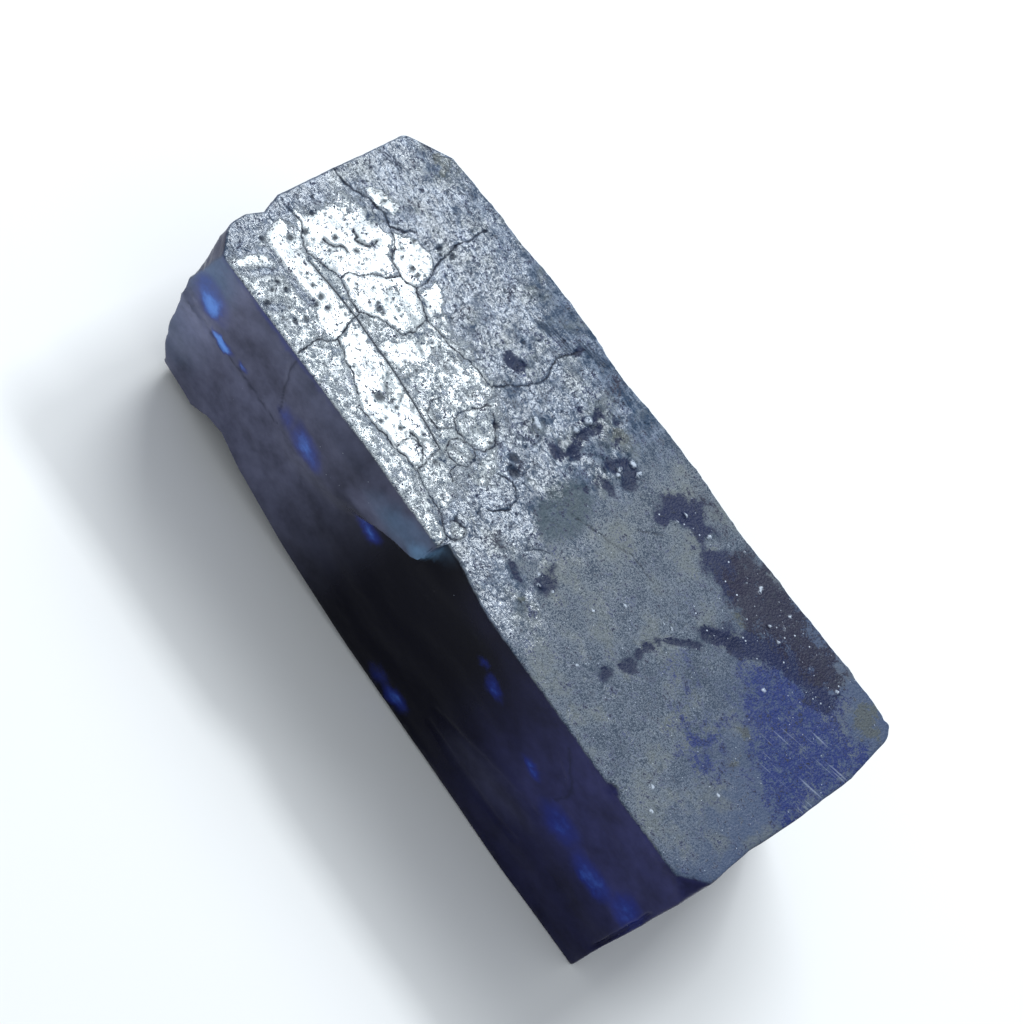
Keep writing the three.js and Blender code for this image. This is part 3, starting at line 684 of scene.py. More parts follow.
for middle_x, middle_y, radius in RINGED_CELLS:
    from_middle = np.hypot(wobble_x - middle_x, wobble_y - middle_y)
    inside = 1 - smoothstep(from_middle, RING_FADE * radius, radius)
    relief += RING_RISE * inside * np.sin(2 * math.pi * from_middle / RING_PITCH)

# Sawing marks, single pale specks of crystal and fine pitting. The crests of the tallest lumps are painted
# light as well, a painted highlight.
SAWING_MARKS = [((-15.8, 10.2), (-11.2, 11.1), 4), ((-12, 12.9), (-8.2, 13.5), 3), ((-39, 7), (-36, 7.6), 3)]
MARKS_APART = 0.38
MARK_HALF = 0.07
MARK_DEPTH = 0.04
MARK_WOBBLE = 0.08
GRAINS = [
    (16.7, 0.7), (17.5, 1.2), (11.4, -5.4), (12.9, -1.7), (14.9, -10.8), (19.7, 13.4), (20, 13), (24.4, 12.7),
    (28.1, 6), (33.6, -6.3), (29, -12.2), (30.7, -14.1), (32.8, 13.3), (23.3, 11.4), (25.2, 11), (12.3, 12),
    (9.2, 11.1), (9.2, 9.7), (6.2, -8.9), (7.6, -8.1), (5.4, -8.2), (14.2, 13.3), (15.8, 14.4), (23.8, 14.3),
]
GRAIN_HALF = 0.2
GRAIN_RISE = 0.1
TALL_BUMP = 0.24
CREST_HIGHLIGHT = 0.75
mark_lines = []
for (from_x, from_y), (to_x, to_y), rows in SAWING_MARKS:
    for row in range(rows):
        lift = row * MARKS_APART
        mark_lines.append([(from_x + lift, from_y + lift), (to_x + lift, to_y + lift)])
mark_gap = gap_to(mark_lines, sx, sy + MARK_WOBBLE * grain(sx, sy, size=1.5))
relief -= MARK_DEPTH * notch(mark_gap, MARK_HALF)
crest_highlight_and_grain = np.zeros(sx.shape)
# Painted highlight: the crests of the tallest lumps are made pale in colour, as if lit
for place_x, place_y, half_x, half_y, turn, rise in BUMPS:
    if rise >= TALL_BUMP:
        crest = dome(wobble_x, wobble_y, place_x, place_y, half_x, half_y, turn)
        crest_highlight_and_grain = np.maximum(crest_highlight_and_grain, CREST_HIGHLIGHT * smoothstep(crest, 0.1, 0.8))
for place_x, place_y in GRAINS:
    spot = dome(wobble_x, wobble_y, place_x, place_y, GRAIN_HALF, GRAIN_HALF)
    crest_highlight_and_grain = np.maximum(crest_highlight_and_grain, spot ** 0.5)
    relief += GRAIN_RISE * spot

PITTED_CELL = 0.9
PITTED_FROM = 0.7
PITTED_RADIUS = 0.05
PITTED_SPREAD = 0.11
PITTED_DEPTH = 0.08
speck_near, _, speck_number = cells(sx, sy, PITTED_CELL, shift=8)
speck_size = PITTED_RADIUS + PITTED_SPREAD * (speck_number - PITTED_FROM) / 0.3
pitted = (speck_number > PITTED_FROM) * crusted * np.clip(1 - (speck_near / speck_size) ** 2, 0, 1)
relief -= PITTED_DEPTH * pitted

points[on_skin, 2] += facing_up[on_skin] * relief

# The sawn side, the back and the two ends are bare crystal. The saw left the side smooth with long shallow
# grooves, and the breaks left the other faces shelly and stepped.
FRONT_GROOVES = [
    [(10.5, 6.8), (15, 8.3), (19.6, 9.6), (25.2, 11.1)],
    [(11, 5), (16, 4.7), (21, 4.6), (26, 5.3)],
    [(-26.2, 21.2), (-25.2, 18.8), (-23.2, 16.4)],
    [(-38, 14.2), (-34.6, 13.4), (-30.8, 13.2), (-27.8, 12.6)],
    [(20.5, 20.2), (23.4, 18.4), (24.5, 16.2)],
]
GROOVE_HALF = 0.3
GROOVE_DEPTH = 0.14
FRONT_HILLS = 0.03
FRONT_GRAIN = 0.012
FLATTENED = 2.5
TOP_FRAY = 0.1
TOP_FRAYED = (22, 24.2)
groove_gap = gap_to(FRONT_GROOVES, x, z + 0.1 * grain(x, z, size=1.5))
front_hills = FRONT_HILLS * rough(x, z * FLATTENED, size=5, layers=3, shift=2)
front_relief = -GROOVE_DEPTH * notch(groove_gap, GROOVE_HALF)
front_relief += front_hills + FRONT_GRAIN * rough(x, z, size=0.9, layers=2, shift=5)
front_relief += TOP_FRAY * smoothstep(z, *TOP_FRAYED) * rough(x, z, size=0.8, layers=2, shift=9)
points[:, 1] -= facing_front * front_relief

SHELL_SIZE = 3.4
SHELL_STEP = 0.34
BACK_ROUGHNESS = 0.1
BACK_RIDGE = 0.05
_, shell_edge, shell_number = cells(x + 0.5 * rough(x, z, size=2, layers=2), z * 1.6, SHELL_SIZE, shift=5)
back_relief = SHELL_STEP * (shell_number - 0.5) * smoothstep(shell_edge, 0, 0.5)
back_ridges = BACK_RIDGE * ridges(x, z, size=2.4, layers=3)
back_relief += BACK_ROUGHNESS * rough(x, z, size=1.6, layers=4, shift=3) - back_ridges
points[:, 1] += facing_back * back_relief

END_SHELL_SIZE = 4.2
END_SHELL_STEP = 0.3
END_ROUGHNESS = 0.12
END_SMOOTHER_ABOVE = (21, 23)
_, end_edge, end_number = cells(y + 0.5 * rough(y, z, size=2, layers=2), z, END_SHELL_SIZE, shift=2)
broken_relief = END_SHELL_STEP * (end_number - 0.5) * smoothstep(end_edge, 0, 0.6)
broken_relief += END_ROUGHNESS * rough(y, z, size=1.8, layers=4, shift=8)
points[:, 0] -= facing_broken * broken_relief * (1 - 0.6 * smoothstep(z, *END_SMOOTHER_ABOVE))
SAW_WAVE = 0.012
SAW_TURNS = 9
CUT_ROUGHNESS = 0.04
saw_wave = SAW_WAVE * np.sin(z * SAW_TURNS + 0.6 * y)
cut_relief = CUT_ROUGHNESS * rough(y, z, size=2.2, layers=4, shift=6) + saw_wave
points[:, 0] += facing_cut * cut_relief

EDGE_NICK = {"at": 26.8, "half": 1.5, "depth": 0.35, "drop": 0.4, "reach": 1.6, "drop_reach": 0.6}
nick_gap = np.abs(x + 0.3 * rough(x, y, size=0.8, layers=2) - EDGE_NICK["at"])
nick = np.clip(1 - nick_gap / EDGE_NICK["half"], 0, 1)
nick_inward = nick * smoothstep(z, 22.8, 24.1) * (1 - smoothstep(y, FRONT + 0.1, FRONT + EDGE_NICK["reach"]))
nick_down = nick * (1 - smoothstep(y, FRONT, FRONT + EDGE_NICK["drop_reach"])) * smoothstep(z, 23.2, 24)
points[:, 1] += EDGE_NICK["depth"] * nick_inward
points[:, 2] -= EDGE_NICK["drop"] * nick_down
chipped = np.maximum(chipped, smoothstep(nick_down, 0.15, 0.5))

FLAKE_SLOT = {"half": 0.2, "depth": 0.5, "from_end": 0.9, "bottom": (4.5, 6), "top": (16, 17.6)}
slot_run = smoothstep(z, *FLAKE_SLOT["bottom"]) * (1 - smoothstep(z, *FLAKE_SLOT["top"]))
slot_gap = x - CUT_END + FLAKE_SLOT["from_end"] + 0.15 * grain(z, z, size=3)
points[:, 1] += facing_front * FLAKE_SLOT["depth"] * notch(slot_gap, FLAKE_SLOT["half"]) * slot_run

# What each place is, for the material: how much glaze, crust, worn blue, stain and so on, as shares that
# the mesh keeps at its points. Patches are given as place, two half-lengths, turn and strength.
WORN_AREAS = [
    [(25.2, 10.4), (24.6, 5.4), (26.6, 3.6), (28.6, 2), (31.6, 0.6), (35, -1.4), (40.4, -2.4), (40.6, 12.6),
     (36, 11.6), (34, 13.4), (30, 11.6)],
    [(24.8, -4), (27, -3.6), (29.4, -4.4), (32.4, -4.2), (31.4, -6.2), (28, -6.4), (25.2, -5.6)],
    [(27.2, -2), (28.6, -0.8), (29.6, -2.4), (29, -4), (27.6, -3.6)],
    [(20.8, -1), (22.8, -0.8), (23.2, -2.2), (21.4, -2.6)],
]
NAVY_AREAS = [
    [(19.2, 4.4), (21.6, 4.2), (23.4, 6), (25.4, 8.2), (29, 9.6), (33.6, 10.6), (33.8, 13), (29, 12.4),
     (25, 11.4), (22.6, 9.4), (21.8, 7), (19.6, 5.6)],
    [(6.6, 9), (8.2, 8), (9.2, 9.6), (11.8, 10.8), (12.4, 12.6), (8.6, 13.6), (6.6, 12)],
    [(12.4, 10), (15.6, 9.4), (19, 9.2), (18.6, 12.4), (14.4, 12.8)],
]
DARK_AREAS = [
    [(15.6, 13.2), (17.2, 10), (21.6, 9.2), (24.4, 10.6), (29.4, 11.6), (33, 13.2), (31.6, 15.6), (24, 16),
     (16, 15.4)],
]
DARK_PATCHES = [
    (10, 14.2, 5, 1, 0, 0.5), (-32, 6, 1.4, 0.9, 0, 0.6),
    (-31.7, 10, 0.5, 1.4, 0, 0.6), (-36, 9.8, 1.2, 0.8, 0, 0.5), (-36.5, 11.8, 1.4, 0.7, 20, 0.6),
    (-22.4, 6.4, 1.1, 0.9, 0, 0.6), (-19.6, 9.8, 1, 1.6, 0, 0.5), (-20.8, 4.2, 0.7, 1.6, 0, 0.55),
    (-23.2, 3.8, 0.5, 0.9, 0, 0.4), (-5.4, 13.2, 1.2, 1.6, 0, 0.7), (-4.7, -2.6, 1.3, 1.1, 0, 0.8),
    (-18.2, -2.6, 1.3, 0.9, 0, 0.5), (0, -10, 1.8, 1, 0, 0.6), (1.4, -13, 1.3, 1, 0, 0.5),
]
STAINS = [
    (37, 14.4, 1.9, 1.9, 0, 1), (-34.1, 12.3, 1, 1.4, 0, 1), (-1.1, 10.2, 0.9, 1.3, 0, 1),
    (6.5, -11.9, 0.5, 0.7, 0, 0.6), (30, 0.9, 1, 0.8, 0, 0.7), (31.8, -2.4, 1, 1.1, 0, 0.6),
    (21, 8.4, 1.2, 1, 0, 0.5), (-24.8, 8.2, 0.6, 0.8, 0, 0.6),
]
FLASHES = [
    (-36, 17, 3.2, 2.4, -20, 0.55), (-35.4, 16.2, 1.8, 1.5, -20, 0.95), (-31.8, 13.7, 1.7, 0.7, 10, 1),
    (-28.5, 14.1, 0.7, 0.5, 0, 0.6), (-18.4, 16, 3, 2, -10, 0.55), (-22, 15.9, 1.4, 1.2, 0, 0.45),
    (-8, 16, 1.9, 1.2, 10, 0.5), (12, 17.6, 1.6, 1.1, -20, 0.45), (9.4, 18.8, 0.9, 0.7, 0, 0.35),
    (7.3, 2.2, 2, 1.3, 10, 0.5), (4.5, 2.2, 1.6, 1.4, 0, 0.3), (20.7, 15, 1.7, 0.8, -10, 0.45),
    (27, 13.4, 3.2, 2.4, 0, 0.4), (33.6, 12.4, 4, 2, 0, 0.45), (32.6, 11.2, 1.2, 0.9, 0, 0.5),
    (37.8, 13.8, 2.4, 2.6, 0, 0.42), (-30, 22.8, 11, 0.6, 1, 0.35),
]
BACK_FLASHES = [
    (-21, 9.4, 3.4, 1.8, 12, 0.4), (-16.4, 10.8, 1.2, 0.8, 0, 0.4), (13, 16, 2.6, 1.4, -15, 0.36),
    (29.6, 6.4, 1.6, 1.1, 0, 0.33),
]
GREY_FACET = (19.5, 7.3, 7.5, 3.4, 12)
PALE_FACETS = [
    (-38.6, 19.4, 5, 5, 0, 0.65), (-38, 8, 7, 8, 0, 0.35), (-6, 21.6, 5.5, 2.2, 14, 0.5),
    (-3.2, 21.6, 1.8, 1.3, 20, 0.9), (-24, 22, 14, 3, 0, 0.12),
]


def patches(a, b, places, warp):
    """A share that is highest in the middle of each patch, up to the patch's own strength."""
    total = np.zeros(a.shape)
    for middle_a, middle_b, half_a, half_b, turn, strength in places:
        part = dome(a + warp, b - warp, middle_a, middle_b, half_a * RIM_SPREAD, half_b * RIM_SPREAD, turn)
        total = np.maximum(total, part * strength)
    return total


def frayed(total, a, b, shift):
    """The same patches with torn, blotchy edges."""
    torn = 0.5 * rough(a, b, FRAY_SIZE, layers=5, shift=shift) * smoothstep(total, 0, 0.25)
    return smoothstep(total + torn, 0, 0.8)


SIDE_CRACKS = [
    [(-40, 13.7), (-37, 13.2), (-34.6, 13.5), (-32, 12.9), (-28.4, 13.6), (-25, 13.4), (-22, 13.8)],
    [(-25.6, 22.6), (-25, 20), (-24.2, 18), (-22.8, 15.4)],
    [(21, 22.2), (24, 19.4), (25, 17.6), (24.6, 15.2)],
]
SIDE_CRACK_HALF = 0.14
SIDE_CRACK_STRENGTH = 0.7
CRACK_STRENGTH = 1.35
LUMP_GAP_STRENGTH = 0.65
BLUE_HOLLOW_STRENGTH = 0.85
NAVY_STRENGTH = 1.4
DARK_STRENGTH = 1.25
skin_warp = 0.8 * rough(x, y, size=2.6, layers=4, shift=12)
side_warp = 0.4 * rough(x, z, size=2, layers=3, shift=14)
measures = {name: np.zeros(x.shape) for name in (
    "glazed", "crusted", "cracked", "hollow", "blue_hollow", "crest_highlight_and_grain",
)}
measures["glazed"][on_skin] = glazed
measures["crusted"][on_skin] = crusted
measures["crest_highlight_and_grain"][on_skin] = crest_highlight_and_grain
measures["cracked"][on_skin] = CRACK_STRENGTH * np.maximum.reduce([
    notch(seam_gap, SEAM_HALF), faded * notch(crack_gap, CRACK_HALF), 0.5 * notch(mark_gap, MARK_HALF),
    0.6 * notch(hairline_gap, HAIRLINE_HALF), 0.9 * notch(gash_gap, GASH_HALF),
    0.4 * crazed * notch(cell_edge, SMALL_EDGE_HALF),
])
side_gap = gap_to(SIDE_CRACKS, x + 0.3 * side_warp, z + 0.3 * side_warp)
side_cracked = SIDE_CRACK_STRENGTH * facing_front * notch(side_gap, SIDE_CRACK_HALF)
measures["cracked"] = np.maximum(measures["cracked"], side_cracked)
measures["hollow"][on_skin] = np.maximum(hollow, pitted)
lump_gaps = LUMP_GAP_STRENGTH * lumpy * smoothstep(-lumps, 0.1, 0.6)
measures["blue_hollow"][on_skin] = np.maximum(BLUE_HOLLOW_STRENGTH * blue_hollow, lump_gaps)
measures["skin"] = smoothstep(facing_up, 0.35, 0.75) * (1 - chipped)

# The stains and worn places of the skin
warped_x, warped_y = x + skin_warp, y - skin_warp
measures["worn"] = within(WORN_AREAS, warped_x, warped_y, fray=1.2, soft=2.2, shift=39)
navy_x, navy_y = x + 0.6 * skin_warp, y - 0.6 * skin_warp
measures["navy"] = NAVY_STRENGTH * within(NAVY_AREAS, navy_x, navy_y, fray=0.9, soft=1.3, shift=45)
dark_areas = DARK_STRENGTH * within(DARK_AREAS, warped_x, warped_y, fray=1, soft=1.6, shift=41)
measures["dark"] = np.maximum(dark_areas, patches(x, y, DARK_PATCHES, skin_warp))
measures["stained"] = frayed(patches(x, y, STAINS, skin_warp), x, y, shift=43)
SCRATCHED = (36.8, 4.4, 6, 5.5)
DULL = (1.6, -1, 3.4, 5.2, 8)
PALE_FROST_ENDS = (5, 18)
BLUISH_FROST_FROM = (22, 36)
measures["scratched"] = dome(x, y, *SCRATCHED)
measures["dull"] = dome(x, y, *DULL)
measures["pale_frost"] = 1 - smoothstep(x + 2 * skin_warp, *PALE_FROST_ENDS)
measures["bluish"] = smoothstep(x + 0.5 * y + 2 * skin_warp, *BLUISH_FROST_FROM)
MATT_BACK = (8.5, 13.5)
MATT_FAR = (-22, -12)
measures["matted"] = 0.6 * smoothstep(y + 1.6 * rough(x, y, size=3, layers=4, shift=47), *MATT_BACK)
measures["matted"] += 0.5 * smoothstep(rough(x, y, size=4.5, layers=4, shift=49), 0.1, 0.7)
measures["matted"] += 0.3 * smoothstep(x + 2 * skin_warp, *MATT_FAR) * smoothstep(y, 0, 3)

# The flashes, pale facets and haze of the bare crystal, with a painted reflection that makes the dark side
# paler towards its far end
measures["flash"] = facing_front * patches(x, z, FLASHES, side_warp)
measures["flash"] += facing_back * patches(x, z, BACK_FLASHES, side_warp)
measures["shelly"] = np.maximum(facing_back, facing_broken)
measures["pale"] = facing_front * smoothstep(patches(x, z, PALE_FACETS, side_warp), 0, 1)
FAR_REFLECTION_ENDS = (-22, -3)
FAR_PAINTED_REFLECTION = 0.55
FAR_END_PAINTED_REFLECTION = 0.45
BEVEL_PALING = 0.5
GREY_FACET_PALING = 0.1
BROKEN_END_HAZE = 0.42
foot = read_line(BEVEL_FOOT, x)
on_bevel = smoothstep(z, foot - 1, foot + 0.6) * (1 - smoothstep(x, TONGUE_TIP - STEP_WIDTH, TONGUE_TIP))
far_end = (1 - smoothstep(x, -37, -29)) * smoothstep(z, 4, 12)
# Painted reflection: the far part of the dark side is lightened in colour as if it mirrored bright
# surroundings
far_painted_reflection = (1 - smoothstep(x, *FAR_REFLECTION_ENDS)) * (FAR_PAINTED_REFLECTION + FAR_END_PAINTED_REFLECTION * far_end)
measures["hazy"] = facing_front * np.maximum(far_painted_reflection, BEVEL_PALING * on_bevel * smoothstep(x, -20, -9))
measures["hazy"] += GREY_FACET_PALING * facing_front * dome(x, z, *GREY_FACET)
measures["hazy"] = np.maximum(measures["hazy"], BROKEN_END_HAZE * facing_broken)
# Painted reflection: the near end of the dark side is painted bluer and lighter; the hidden faces and chips
# get the crystal's own blue
measures["blue_haze"] = facing_front * smoothstep(x, 8, 26) * (0.45 + 0.55 * smoothstep(z, 8, 13))
measures["blue_haze"] += 0.15 * facing_front * smoothstep(x, 0, 6) * smoothstep(z, 19, 23)
hidden_sides = np.maximum(0.8 * chipped, 0.6 * facing_cut + 0.5 * facing_back)
measures["blue_haze"] = np.maximum(measures["blue_haze"], hidden_sides)

STONE_TRIANGLES = 196000
stone_mesh = bpy.data.meshes.new("rough_sapphire_stone")
stone_mesh.from_pydata(points, [], faces)
for name, values in measures.items():
    attribute = stone_mesh.attributes.new(name, "FLOAT", "POINT")
    attribute.data.foreach_set("value", values.astype(np.float32))
stone = bpy.data.objects.new("stone", stone_mesh)
bpy.context.scene.collection.objects.link(stone)

# Small neighbours are merged where they lie flat: least on the crust, more on the frost and the sides, and
# most of all on the hidden base. A weight of 0 keeps the points along fine lines.
MERGING = {"crust": 0.3, "frost": 0.6, "front": 0.7, "ends_and_back": 0.82, "base": 0.97}
MERGING_PULL = 0.004
FINE_LINE = 0.15
facing = {
    "ends_and_back": facing_up + facing_front < 2,
    "base": outward[:, 2] < -0.5,
    "front": facing_front > 0.5,
    "frost": facing_up > 0.1,
    "crust": on_skin & (x < CRUST_LIMIT),
}
can_merge = stone.vertex_groups.new(name="can_merge")
for zone, members in facing.items():
    can_merge.add(np.flatnonzero(members).tolist(), MERGING[zone], "REPLACE")
fine_lines = np.maximum.reduce([measures["cracked"], measures["hollow"], measures["crest_highlight_and_grain"]]) > FINE_LINE
can_merge.add(np.flatnonzero(fine_lines).tolist(), 0.0, "REPLACE")
merging = stone.modifiers.new("merging", "DECIMATE")
merging.vertex_group = can_merge.name
merging.vertex_group_factor = MERGING_PULL
merging.ratio = STONE_TRIANGLES / (2 * len(faces))
depsgraph = bpy.context.evaluated_depsgraph_get()
merged_mesh = bpy.data.meshes.new_from_object(
    stone.evaluated_get(depsgraph), preserve_all_data_layers=True, depsgraph=depsgraph
)
stone.modifiers.clear()
stone.vertex_groups.clear()
stone.data = merged_mesh
merged_mesh.polygons.foreach_set("use_smooth", np.ones(len(merged_mesh.polygons), dtype=bool))

merged_mesh.transform(Matrix.Scale(MM, 4))
places = np.empty(len(merged_mesh.vertices) * 3)
merged_mesh.vertices.foreach_get("co", places)
places = places.reshape(-1, 3)
stone_middle = (places.min(axis=0) + places.max(axis=0)) / 2
cad_middle = (cad_box[0] + cad_box[1]) / 2
to_frame = Vector((cad_middle.x - stone_middle[0], cad_middle.y - stone_middle[1], 0))
merged_mesh.transform(Matrix.Translation(to_frame))


class Wire:
    """A value running through the stone's material. Sums and products of it add Math nodes."""

    def __init__(self, socket):
        self.socket = socket

    def worked(self, operation, first, second):
        return look.add("ShaderNodeMath", {"operation": operation}, {0: first, 1: second})

    def __add__(self, other):
        return self.worked("ADD", self, other)

    def __sub__(self, other):
        return self.worked("SUBTRACT", self, other)

    def __rsub__(self, other):
        return self.worked("SUBTRACT", other, self)

    def __mul__(self, other):
        return self.worked("MULTIPLY", self, other)

    def __abs__(self):
        return self.worked("ABSOLUTE", self, 0)

    __radd__ = __add__
    __rmul__ = __mul__


class Finish:
    """A material under construction."""

    def __init__(self, name):
        self.material = bpy.data.materials.new(name)
        self.material.use_nodes = True
        self.material.node_tree.nodes.clear()

    def add(self, kind, settings=None, inputs=None, output=0):
        """Adds one node: first its settings, then the values and links of its sockets."""
        node = self.material.node_tree.nodes.new(kind)
        for name, value in (settings or {}).items():
            setattr(node, name, value)
        for name, value in (inputs or {}).items():
            if isinstance(value, Wire):
                self.material.node_tree.links.new(value.socket, node.inputs[name])
            else:
                node.inputs[name].default_value = value
        return Wire(node.outputs[output]) if node.outputs else node

    def measure(self, name):
        return self.add("ShaderNodeAttribute", {"attribute_name": name}, output="Fac")

    def mixed(self, share, first, second):
        """One colour turning into another as the share goes from 0 to 1."""
        colours = {6: first, 7: second}
        return self.add("ShaderNodeMix", {"data_type": "RGBA"}, {0: share, **colours}, output=2)

    def between(self, value, low, high, start=0.0, end=1.0):
        """A soft step from start to end as the value goes from low to high."""
        inputs = {"Value": value, "From Min": low, "From Max": high, "To Min": start, "To Max": end}
        return self.add("ShaderNodeMapRange", {"interpolation_type": "SMOOTHSTEP"}, inputs)

    def specks(self, place, per_mm, radius, chance):
        """Small round specks: 1 inside a speck, 0 elsewhere."""
        inputs = {"Vector": place, "Scale": per_mm / MM}
        gap = self.add("ShaderNodeTexVoronoi", {}, inputs, output="Distance")
        lot = self.add("ShaderNodeTexVoronoi", {}, inputs, output="Color")
        drawn = self.between(lot, 1 - chance, 1.02 - chance)
        return self.between(gap, radius * per_mm, 0.4 * radius * per_mm) * drawn

    def noise(self, place, per_mm, detail=2.0, roughness=0.5, distortion=0.0):
        inputs = {"Vector": place, "Scale": per_mm / MM, "Detail": detail, "Roughness": roughness,
                  "Distortion": distortion}
        return self.add("ShaderNodeTexNoise", {}, inputs)

    def layered(self, colour, layers):
        """A colour with others laid over it one by one, each as far as its own share goes."""
        for share, over in layers:
            colour = self.mixed(share, colour, over)
        return colour

    def surface(self, colour, roughness, refraction, height, strength=1.0, distance=MM):
        """A surface with a relief, whose height counts in steps of the distance."""
        bump = self.add("ShaderNodeBump", {}, {"Strength": strength, "Distance": distance, "Height": height})
        return self.add("ShaderNodeBsdfPrincipled", {}, {
            "Base Color": colour, "Roughness": roughness, "IOR": refraction, "Normal": bump,
        })


# The finish of the stone: silvery glaze, crust and frost over deep blue crystal. Two surfaces are mixed, the
# pale skin and the bare glassy crystal, by the measures kept on the mesh.
look = Finish("dark_blue_crystal_skin")
place = look.add("ShaderNodeTexCoord", output="Object")
here = {name: look.measure(name) for name in measures}

finest = look.noise(place, per_mm=8, detail=0)
fine = look.noise(place, per_mm=3.6, detail=1)
medium = look.noise(place, per_mm=1.3, detail=3, roughness=0.6)
blotchy = look.noise(place, per_mm=0.7)
broad = look.noise(place, per_mm=0.35, detail=3, roughness=0.55)
grit = 0.55 * fine + 0.45 * finest
mottle = 2.4 * (medium - 0.5) + 2.6 * (grit - 0.5)
WRINKLE_STRETCH = (0.35, 1, 1)
along_bar = look.add("ShaderNodeMapping", {}, {"Vector": place, "Scale": WRINKLE_STRETCH})
wrinkle = look.noise(along_bar, per_mm=2.4, detail=1, distortion=0.6)
winding = look.noise(place, per_mm=0.8, distortion=0.4)
fine_cracks = look.between(abs(winding - 0.5), 0.022, 0.006) * look.between(blotchy, 0.4, 0.6)

FROST_COLOUR = (0.165, 0.193, 0.235, 1)
FROST_SHADE = (0.036, 0.052, 0.082, 1)
BLUISH_FROST = (0.055, 0.078, 0.14, 1)
PALE_FROST = (0.2, 0.22, 0.235, 1)
frost_tone = 0.4 * finest + 0.3 * fine + 0.3 * medium + 0.3 * (broad - 0.5)
frost_share = look.between(frost_tone, 0.4, 0.6)
frost_colour = look.layered(FROST_SHADE, [
    (frost_share, FROST_COLOUR),
    (here["bluish"] * 0.85, BLUISH_FROST),
    (here["pale_frost"] * 0.75 * frost_share, PALE_FROST),
])

CRUST_COLOUR = (0.155, 0.195, 0.265, 1)
CRUST_SHADE = (0.018, 0.04, 0.08, 1)
# The glaze's pale silvery colour is partly its own and partly a painted sheen, standing in for the glare it
# catches
GLAZE_AND_SHEEN_COLOUR = (0.37, 0.4, 0.415, 1)
GLAZE_SHADE = (0.05, 0.1, 0.13, 1)
crust_tone = 0.35 * wrinkle + 0.4 * grit + 0.25 * medium + 0.5 * (blotchy - 0.5)
crust_colour = look.mixed(look.between(crust_tone, 0.4, 0.6), CRUST_SHADE, CRUST_COLOUR)
glaze_tone = grit + 0.5 * (medium - 0.5) + 0.3 * (broad - 0.5)
glaze_and_sheen_colour = look.mixed(look.between(glaze_tone, 0.26, 0.4), GLAZE_SHADE, GLAZE_AND_SHEEN_COLOUR)

# How far each kind of stain or wear goes, with blotchy edges
glazed_here = look.between(here["glazed"] + 1.6 * (grit - 0.5) + 2.6 * (medium - 0.5), 0.2, 0.9)
worn_here = look.between(0.95 * here["worn"] + 1.2 * mottle + 1.4 * (blotchy - 0.5), 0.15, 1.1)
navy_here = look.between(here["navy"] + 0.8 * mottle, 0.2, 0.9)
dark_here = look.between(here["dark"] + mottle, 0.25, 1)
stained_here = look.between(here["stained"] + mottle, 0.2, 1)
blue_gaps = look.between(1.15 * here["blue_hollow"] + 0.8 * mottle, 0.2, 0.9)
dull_here = look.between(here["dull"], 0.1, 0.7)
olive_here = look.between(broad, 0.48, 0.66)

# Pinholes in the glaze, and the pale marks on the skin: painted sparkles and glints that stand in for light
# caught by tiny facets, painted highlights on lump crests, single pale specks of crystal and scratches
SCRATCH_TURN = math.radians(14)
SCRATCH_STRETCH = 22
along_scratch = look.add("ShaderNodeMapping", {"vector_type": "TEXTURE"}, {
    "Vector": place, "Rotation": (0, 0, SCRATCH_TURN), "Scale": (SCRATCH_STRETCH, 1, 1),
})
scratch_lines = look.between(look.noise(along_scratch, per_mm=3.2, detail=1), 0.62, 0.74)
scratches = scratch_lines * look.between(here["scratched"], 0, 0.5)
pinholes = look.specks(place, per_mm=1.4, radius=0.1, chance=0.45) * glazed_here
painted_sparkles = look.specks(place, per_mm=1.5, radius=0.08, chance=0.5) * (1 - glazed_here)
glints = look.specks(place, per_mm=1.1, radius=0.13, chance=0.6) * (dark_here + navy_here)
crest_highlights_and_grains = here["crest_highlight_and_grain"] * look.between(mottle, -0.6, 0.2)

OLIVE_TINT = (0.12, 0.13, 0.115, 1)
DULL_COLOUR = (0.05, 0.072, 0.085, 1)
WORN_COLOUR = (0.006, 0.018, 0.125, 1)
NAVY_COLOUR = (0.005, 0.01, 0.05, 1)
DARK_COLOUR = (0.012, 0.01, 0.03, 1)
STAIN_COLOUR = (0.078, 0.086, 0.074, 1)
HOLLOW_BLUE = (0.004, 0.009, 0.04, 1)
CRACK_COLOUR = (0.005, 0.008, 0.02, 1)
# One pale colour for the painted glints and highlights and for real pale specks, scratches and dust
GLINT_AND_PALE_SPECK_COLOUR = (0.6, 0.66, 0.75, 1)
skin_colour = look.layered(frost_colour, [
    (here["crusted"], crust_colour),
    (olive_here * 0.45, OLIVE_TINT),
    (glazed_here, glaze_and_sheen_colour),
    (dull_here * 0.7, DULL_COLOUR),
    (worn_here * 0.9, WORN_COLOUR),
    (navy_here * 0.92, NAVY_COLOUR),
    (dark_here * 0.9, DARK_COLOUR),
    (stained_here * 0.75, STAIN_COLOUR),
    (blue_gaps * 0.9, HOLLOW_BLUE),
    (here["cracked"] + here["hollow"] * 0.8, CRACK_COLOUR),
    (pinholes * 0.65 + fine_cracks * here["crusted"] * 0.6, CRACK_COLOUR),
    (painted_sparkles * 0.55 + glints * 0.7 + crest_highlights_and_grains + scratches * 0.22, GLINT_AND_PALE_SPECK_COLOUR),
])

